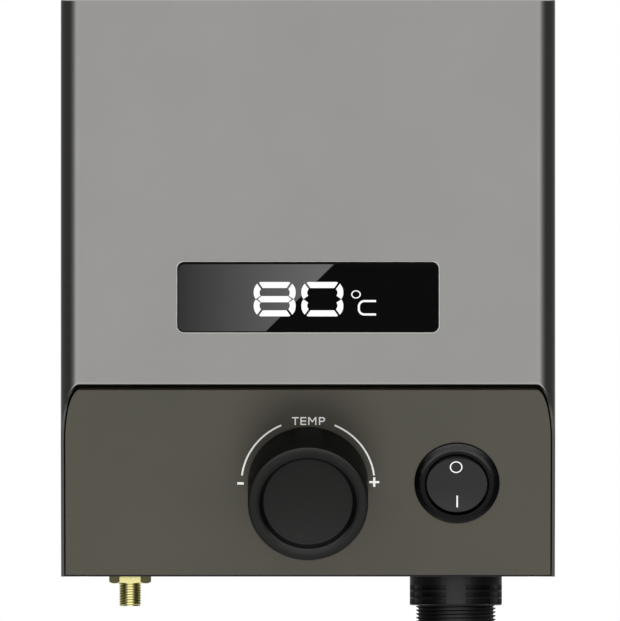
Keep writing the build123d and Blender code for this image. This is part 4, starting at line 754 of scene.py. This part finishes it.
# Black band round the edge of the glass, wider at the top: painted shade of the gap between glass and cover
borderLook = {"width": 75.9, "height": 20.3, "radius": 1.9, "middle": 81.4, "side": 0.2, "top": 0.6, "low": -0.25,
              "high": -0.235, "steps": 8}
borderShape = bmesh.new()
borderLoops = []
for inset, drop in ((0.0, 0.0), (borderLook["side"], borderLook["top"] - borderLook["side"])):
    halfWide = borderLook["width"] / 2 - inset
    low, high = inset - borderLook["height"] / 2, borderLook["height"] / 2 - inset - drop
    radius = borderLook["radius"] - inset
    spots = []
    for x, y, start in ((halfWide, high, 0), (-halfWide, high, 90), (-halfWide, low, 180), (halfWide, low, 270)):
        centre = (x - radius * (1 if x > 0 else -1), y - radius * (1 if y > 0 else -1))
        spots += roundCorner(centre, radius, start, start + 90, borderLook["steps"])
    ring = [borderShape.verts.new((x, borderLook["middle"] + y, 0)) for x, y in spots]
    borderLoops += [borderShape.edges.new(pair) for pair in zip(ring, ring[1:] + ring[:1])]
bmesh.ops.bridge_loops(borderShape, edges=borderLoops)
thicken(borderShape, borderLook["low"], borderLook["high"])
makePiece("glassShadeBand", putAt(borderShape, frontPlace), "shadowBlack")

# Knob: a dished cap with a soft front edge; its side wall and the cone of its dish are darkened as painted shade
knobLook = {"radius": 17.5, "height": 19.5, "lift": 0.7, "fillet": 1.0, "rim": 14.2, "dish": 13.1, "dishDepth": 2.7,
            "dishEdge": 2.0, "wall": 2.0, "edge": 0.22, "hub": 5.2, "bore": 4.2, "hubFoot": 6.7, "capFoot": 14.8,
            "steps": 144, "wallFacing": 0.6, "dishFacing": (0.3, 0.97)}


def knobProfile():
    radius, height, lift, edge = (knobLook[key] for key in ("radius", "height", "lift", "edge"))
    rim, dish, depth, soft = (knobLook[key] for key in ("rim", "dish", "dishDepth", "dishEdge"))
    hub, bore, hubFoot, capFoot = (knobLook[key] for key in ("hub", "bore", "hubFoot", "capFoot"))
    fillet, inside = knobLook["fillet"], radius - knobLook["wall"]
    bed, slope = height - depth, (rim - dish) / depth
    turn = 90 - degrees(atan(slope))
    return [
        (0, bed), (dish - edge, bed), (dish - edge * 0.25, bed + edge * 0.2), (dish + edge * slope, bed + edge),
    ] + roundCorner((rim + soft * tan(radians(turn / 2)), height - soft), soft, 90 + turn, 90, 8) + roundCorner(
        (radius - fillet, height - fillet), fillet, 90, 0, 8
    ) + [
        (radius, lift + edge), (radius - edge, lift), (inside, lift), (inside, capFoot), (hub, capFoot),
        (hub, hubFoot), (bore, hubFoot), (bore, capFoot), (0, capFoot),
    ]


def fromAxis(place, spot):
    return (place.inverted() @ (spot * mm)).xy.length / mm


def knobWall(spot, normal):
    return abs(normal.dot(panelOut)) < knobLook["wallFacing"] and fromAxis(panelPlace, spot) > knobLook["rim"]


def knobDish(spot, normal):
    low, high = knobLook["dishFacing"]
    return low < normal.dot(panelOut) < high and fromAxis(panelPlace, spot) < knobLook["rim"]


knobShape = bmesh.new()
turnProfile(knobShape, knobProfile(), knobLook["steps"])
makePiece("knobCap", putAt(knobShape, panelPlace), "knobPlastic", ["knob"], body="knob", sharp=30,
          accents=[("knobSidePaintedShade", knobWall), ("knobConePaintedShade", knobDish)])

# Switch bezel and its rocker
switchLook = {"x": 43.4, "bore": 9.24, "mouth": 9.44, "mouthFrom": -0.5, "ring": 10.5, "ringTo": 9.98, "ringFrom": 1.5,
              "outer": 12.45, "outerTo": 12.2, "outerBand": (0.3, 0.5), "wallTop": 0.52, "reach": 0.05,
              "wallFrom": 12.0, "wallFacing": 0.55, "pinsFrom": 8.9, "edge": 0.12, "rockerShare": 0.985,
              "rockerEdge": 0.2}
switchPlace = panelPlace @ Matrix.Translation((switchLook["x"] * mm, 0, 0))
bezelShape = copyOfNode("switch_housing")
bandLow, bandHigh = switchLook["outerBand"]
for vert, spot, radius in spotsOn(bezelShape, switchPlace):
    if abs(radius - switchLook["bore"]) < switchLook["reach"] and spot.z > switchLook["mouthFrom"]:
        spot.xy *= switchLook["mouth"] / radius
    elif abs(radius - switchLook["ring"]) < switchLook["reach"] and spot.z > switchLook["ringFrom"]:
        spot.xy *= switchLook["ringTo"] / radius
    elif abs(radius - switchLook["outer"]) < switchLook["reach"] and bandLow < spot.z < bandHigh:
        spot.xy *= switchLook["outerTo"] / radius
        spot.z = switchLook["wallTop"]
    vert.co = switchPlace @ (spot * mm)


def bezelWall(spot, normal):
    upright = abs(normal.dot(panelOut)) < switchLook["wallFacing"]
    return upright and fromAxis(switchPlace, spot) > switchLook["wallFrom"]


def rockerPins(spot, normal):
    return abs(spot.x - switchLook["x"]) > switchLook["pinsFrom"]


makePiece("switchBezel", bezelShape, "switchPlastic", ["switch_housing"],
          bevel=switchLook["edge"], segments=3, accents=[("shadowBlack", bezelWall)])
rockerShape = copyOfNode("rocker", 0.05)
rockerShare = Matrix.Diagonal((switchLook["rockerShare"], switchLook["rockerShare"], 1, 1))
bmesh.ops.transform(rockerShape, matrix=switchPlace @ rockerShare @ switchPlace.inverted(), verts=rockerShape.verts)
makePiece("rockerButton", rockerShape, "rockerPlastic", ["rocker"], body="rocker",
          bevel=switchLook["rockerEdge"], segments=3, accents=[("shadowBlack", rockerPins)])
print("knob and switch made")

# Marks printed round the knob: two arcs, minus, plus and the word TEMP, their white print given a faint painted glow
dialLook = {"radius": 19.38, "stroke": 0.5, "low": 7.0, "high": 66.4, "signX": 19.65, "signY": -0.1, "barWidth": 1.85,
            "barHeight": 0.72, "plusX": 19.3, "plusY": 0.3, "plusSize": 2.9, "plusStroke": 0.65,
            "steps": 40, "printFrom": 0.005, "print": 0.04}
dialShape = bmesh.new()
low, high = dialLook["low"], dialLook["high"]
for start, end in ((low, high), (180 - high, 180 - low)):
    addArc(dialShape, (0, 0), dialLook["radius"], dialLook["stroke"], start, end, dialLook["steps"])
addBar(dialShape, -dialLook["signX"], dialLook["signY"], dialLook["barWidth"], dialLook["barHeight"])
plusShape = bmesh.new()
reach, thin = dialLook["plusSize"] / 2, dialLook["plusStroke"] / 2
addOutline(plusShape, [
    (thin, thin), (thin, reach), (-thin, reach), (-thin, thin), (-reach, thin), (-reach, -thin), (-thin, -thin),
    (-thin, -reach), (thin, -reach), (thin, -thin), (reach, -thin), (reach, thin),
])
bmesh.ops.translate(plusShape, vec=(dialLook["plusX"], dialLook["plusY"], 0), verts=plusShape.verts)

# Letters as strokes: each letter's bars, slants and bowls
wordLook = {"height": 2.42, "stroke": 0.37, "starts": (-4.68, -2.22, 0.06, 3.18), "widths": (1.95, 1.72, 2.4, 1.8),
            "rise": 17.86}


def addWord(shape):
    tall, pen = wordLook["height"], wordLook["stroke"]
    tX, eX, mX, pX = wordLook["starts"]
    tWide, eWide, mWide, pWide = wordLook["widths"]
    addBar(shape, tX + tWide / 2, tall - pen / 2, tWide, pen)
    addBar(shape, tX + tWide / 2, (tall - pen) / 2, pen, tall - pen)
    addBar(shape, eX + pen / 2, tall / 2, pen, tall)
    for y in (pen / 2, tall / 2, tall - pen / 2):
        addBar(shape, eX + (pen + eWide) / 2, y, eWide - pen, pen)
    for stem in (mX + pen / 2, mX + mWide - pen / 2):
        addBar(shape, stem, tall / 2, pen, tall)
    valley = mX + mWide / 2
    for side in (-1, 1):
        outer = valley + side * (mWide / 2 - pen)
        slant = [(outer, tall), (outer, tall - pen * 1.5), (valley, pen * 2.0), (valley, pen * 3.5)]
        addOutline(shape, slant[::side])
    bowl = tall * 0.31
    flat = pWide - pen - bowl
    addBar(shape, pX + pen / 2, tall / 2, pen, tall)
    for y in (tall - pen / 2, tall - 2 * bowl + pen / 2):
        addBar(shape, pX + pen + flat / 2, y, flat, pen)
    addArc(shape, (pX + pen + flat, tall - bowl), bowl - pen / 2, pen, -90, 90, 14)


wordShape = bmesh.new()
addWord(wordShape)
bmesh.ops.translate(wordShape, vec=(0, wordLook["rise"], 0), verts=wordShape.verts)
for name, shape in (("dialArcs", dialShape), ("dialPlus", plusShape), ("dialWord", wordShape)):
    thicken(shape, dialLook["printFrom"], dialLook["print"])
    makePiece(name, putAt(shape, panelPlace), "printWhitePaintedGlow")

# Rocker marks follow the hollow face; their white print has a faint painted glow
rockerLook = {"pivotDepth": 0.6, "tilt": 6.5, "rise": 2.14, "ball": 9.0, "dish": 42.0, "ringAt": (-0.26, 5.68),
              "ringRadius": 1.66, "ringStroke": 0.33, "ringStretch": 1.1, "bar": (0.07, -5.38, 0.44, 3.5),
              "printFrom": 0.003, "print": 0.035}
rockerPivot = Matrix.Translation((0, 0, -rockerLook["pivotDepth"] * mm))
rockerPlace = switchPlace @ rockerPivot @ Matrix.Rotation(radians(rockerLook["tilt"]), 4, "X")
dishHalf = sqrt(rockerLook["ball"] ** 2 - rockerLook["rise"] ** 2)
dishCentre = rockerLook["rise"] + sqrt(rockerLook["dish"] ** 2 - dishHalf ** 2)
for name in ("rockerRing", "rockerBar"):
    markShape = bmesh.new()
    if name == "rockerRing":
        addArc(markShape, rockerLook["ringAt"], rockerLook["ringRadius"], rockerLook["ringStroke"], 0, 360, 64,
               rockerLook["ringStretch"])
    else:
        addBar(markShape, *rockerLook["bar"])
        bmesh.ops.subdivide_edges(markShape, edges=markShape.edges, cuts=7, use_grid_fill=True)
    thicken(markShape, rockerLook["printFrom"], rockerLook["print"])
    for vert in markShape.verts:
        vert.co.z += dishCentre - sqrt(rockerLook["dish"] ** 2 - vert.co.y ** 2)
    makePiece(name, putAt(markShape, rockerPlace), "printWhitePaintedGlow", body="rocker")

# Lit digits on the window, in mm from the centre of each digit
digitLook = {"middle": 80.8, "tensX": -9.7, "unitsX": 4.17, "low": -0.24, "high": -0.2, "trim": 0.32}
topBar = [(-4.05, 5.0), (-4.3, 4.94), (-4.55, 4.76), (-3.5, 3.29), (-3.3, 3.24)]
topBar += [(-u, v) for u, v in reversed(topBar)]
midBar = [(-4.94, 0.0), (-3.87, -0.9), (3.87, -0.9), (4.94, 0.0), (3.87, 0.9), (-3.87, 0.9)]
sideBar = [(-5.1, 4.5), (-5.36, 4.22), (-5.68, 3.74), (-5.93, 3.2), (-6.06, 2.66), (-6.1, 2.1), (-6.09, 1.5),
           (-6.0, 1.0), (-5.8, 0.5), (-5.6, 0.16), (-5.42, 0.1), (-4.1, 1.02), (-4.32, 1.35), (-4.42, 1.87),
           (-4.32, 2.4), (-3.98, 2.93)]
digitShape = bmesh.new()
for x, hasMiddle in ((digitLook["tensX"], True), (digitLook["unitsX"], False)):
    for flip in (1, -1):
        addOutline(digitShape, [(x + u, digitLook["middle"] + flip * v) for u, v in topBar])
        for side in (1, -1):
            addOutline(digitShape, [(x + side * u, digitLook["middle"] + flip * v) for u, v in sideBar])
    if hasMiddle:
        addOutline(digitShape, [(x + u, digitLook["middle"] + v) for u, v in midBar])
margins = bmesh.ops.inset_individual(
    digitShape, faces=digitShape.faces[:], thickness=digitLook["trim"], use_even_offset=True
)
bmesh.ops.delete(digitShape, geom=margins["faces"], context="FACES")
unitLook = {"degree": (13.97, 82.19), "degreeRadius": 1.22, "degreeStroke": 0.34, "squeeze": 0.85, "left": 14.5,
            "right": 19.8, "middle": 78.3, "height": 4.5, "stroke": 0.6, "radius": 1.9}
degreeShape = bmesh.new()
addArc(degreeShape, unitLook["degree"], unitLook["degreeRadius"], unitLook["degreeStroke"], 0, 360, 48,
       unitLook["squeeze"])
letterShape = bmesh.new()
pen, middle, right = unitLook["stroke"], unitLook["middle"], unitLook["right"]
reach, bend, start = (unitLook["height"] - pen) / 2, unitLook["radius"] - pen / 2, unitLook["left"] + unitLook["radius"]
for side, turn in ((-1, 180), (1, 90)):
    addBar(letterShape, (start + right) / 2, middle + side * reach, right - start, pen)
    addArc(letterShape, (start, middle + side * (reach - bend)), bend, pen, turn, turn + 90, 16)
addBar(letterShape, unitLook["left"] + pen / 2, middle, pen, 2 * (reach - bend))
for name, shape in (("litDigits", digitShape), ("litDegree", degreeShape), ("litLetter", letterShape)):
    thicken(shape, digitLook["low"], digitLook["high"])
    makePiece(name, putAt(shape, frontPlace), "litWhite")
print("marks and digits made")

# Power inlet: threaded sleeve, grip ring, insert and pins
inletLook = {"x": 43.3, "core": 10.7, "coreAbove": 10.8, "coreFrom": 8.0, "gripSwell": 0.24, "gripFrom": 12.0,
             "thread": {"crest": 11.62, "root": 10.95, "bore": 10.6, "low": 8.3, "high": 23.98, "pitch": 1.08,
                        "steps": 96, "flat": 0.3, "chamferLow": 0.0, "chamferHigh": 0.6}}
inletPlace = underPlace(inletLook["x"])
makeThreaded("inletSleeve", "inletThread", "inlet_body", inletPlace, inletLook, "inletPlastic", 0.15)
gripShape = copyOfNode("inlet_ring_nut")
for vert, spot, radius in spotsOn(gripShape, inletPlace):
    if radius > inletLook["gripFrom"]:
        spot.xy *= 1 + inletLook["gripSwell"] / radius
        vert.co = inletPlace @ (spot * mm)
makePiece("inletGrip", gripShape, "inletPlastic", ["inlet_ring_nut"], bevel=0.12)
dressNodes({
    "inletInsert": ("inlet_insert", "inletPlastic", "black_moulding", 0.15, 2),
    "inletPins": ("inlet_pins", "brassBare", "plain_brass", 0.1, 2),
})

# Antenna socket: gold hexagon nut and threaded barrel
socketLook = {"x": -52.1, "core": 2.68, "coreAbove": 2.72, "coreFrom": 1.0,
              "thread": {"crest": 3.19, "root": 2.93, "bore": 2.6, "low": 1.9, "high": 8.72, "pitch": 0.75,
                         "steps": 64, "flat": 0.39, "chamferLow": 0.0, "chamferHigh": 0.35}}
makeThreaded("socketBody", "socketThread", "sma_body", underPlace(socketLook["x"]), socketLook, "goldPlate",
             0.05)
dressNodes({
    "socketNut": ("sma_nut", "goldPlate", "gold_brass", 0.1, 3),
    "socketInsulator": ("sma_insulator", "insulationWhite", "white_insulation", 0.06, 2),
    "socketContact": ("sma_contact", "goldPlate", "gold_brass", 0.04, 2),
})
print("sockets made")

# Screw boss with its hexagon and tank thread
bossLook = {"core": 22.25, "coreAbove": 22.3, "coreFrom": -0.01,
            "thread": {"crest": 23.9, "root": 22.42, "bore": 22.0, "low": 0.3, "high": 25.96, "pitch": 2.309,
                       "steps": 128, "flat": 0.12, "chamferLow": 1.4, "chamferHigh": 1.5}}
makeThreaded("screwBoss", "bossThread", "screw_boss", tankPlace, bossLook, "brassBare", 0.3, 3)

# Heating rod: three hairpins, the thermowell and two spacers
hairpins = {"hairpinOne": "heating_element_1", "hairpinTwo": "heating_element_2", "hairpinThree": "heating_element_3"}
for name, node in hairpins.items():
    makePiece(name, copyOfNode(node, 0.02), "elementSheath", [node], sharp=40)
makePiece("sensorWell", copyOfNode("thermowell", 0.02), "wellSteel", ["thermowell"], sharp=40)
dressNodes({"hairpinSpacers": ("element_spacers", "wellSteel", "metal_steel", 0.3, 2)})
print("boss and rod made")

# Inner pieces keep their solids and get their finishes
innerFinishes = {
    "boardGreen": ["control_board", "display_board", "power_board"],
    "packageBlack": ["display_module", "radio_module", "relays", "power_switches", "thermal_cutout", "terminal_block",
                     "encoder_body"],
    "capacitorSleeve": ["capacitors"],
    "castAlloy": ["heat_spreader", "transformer"],
    "leadSheath": ["antenna_lead", "power_leads"],
    "rubberSeal": ["panel_gasket", "display_seal", "boss_washer_seal", "inlet_seal", "sma_seal"],
    "insulationWhite": ["terminal_insulators"],
    "litWhite": ["segment_lenses"],
    "steelPlated": ["board_screws", "board_standoffs", "power_standoffs", "base_screws", "earth_stud", "terminal_studs",
                    "encoder_nut", "encoder_shaft", "encoder_washer", "temperature_sensor"],
    "brassBare": ["boss_ring_nut", "knob_insert", "switch_terminals"],
}
for material, names in innerFinishes.items():
    for name in names:
        for place in nodes[name].material_slots:
            place.material = finish[material]
print("inner pieces finished")

print("scene done")
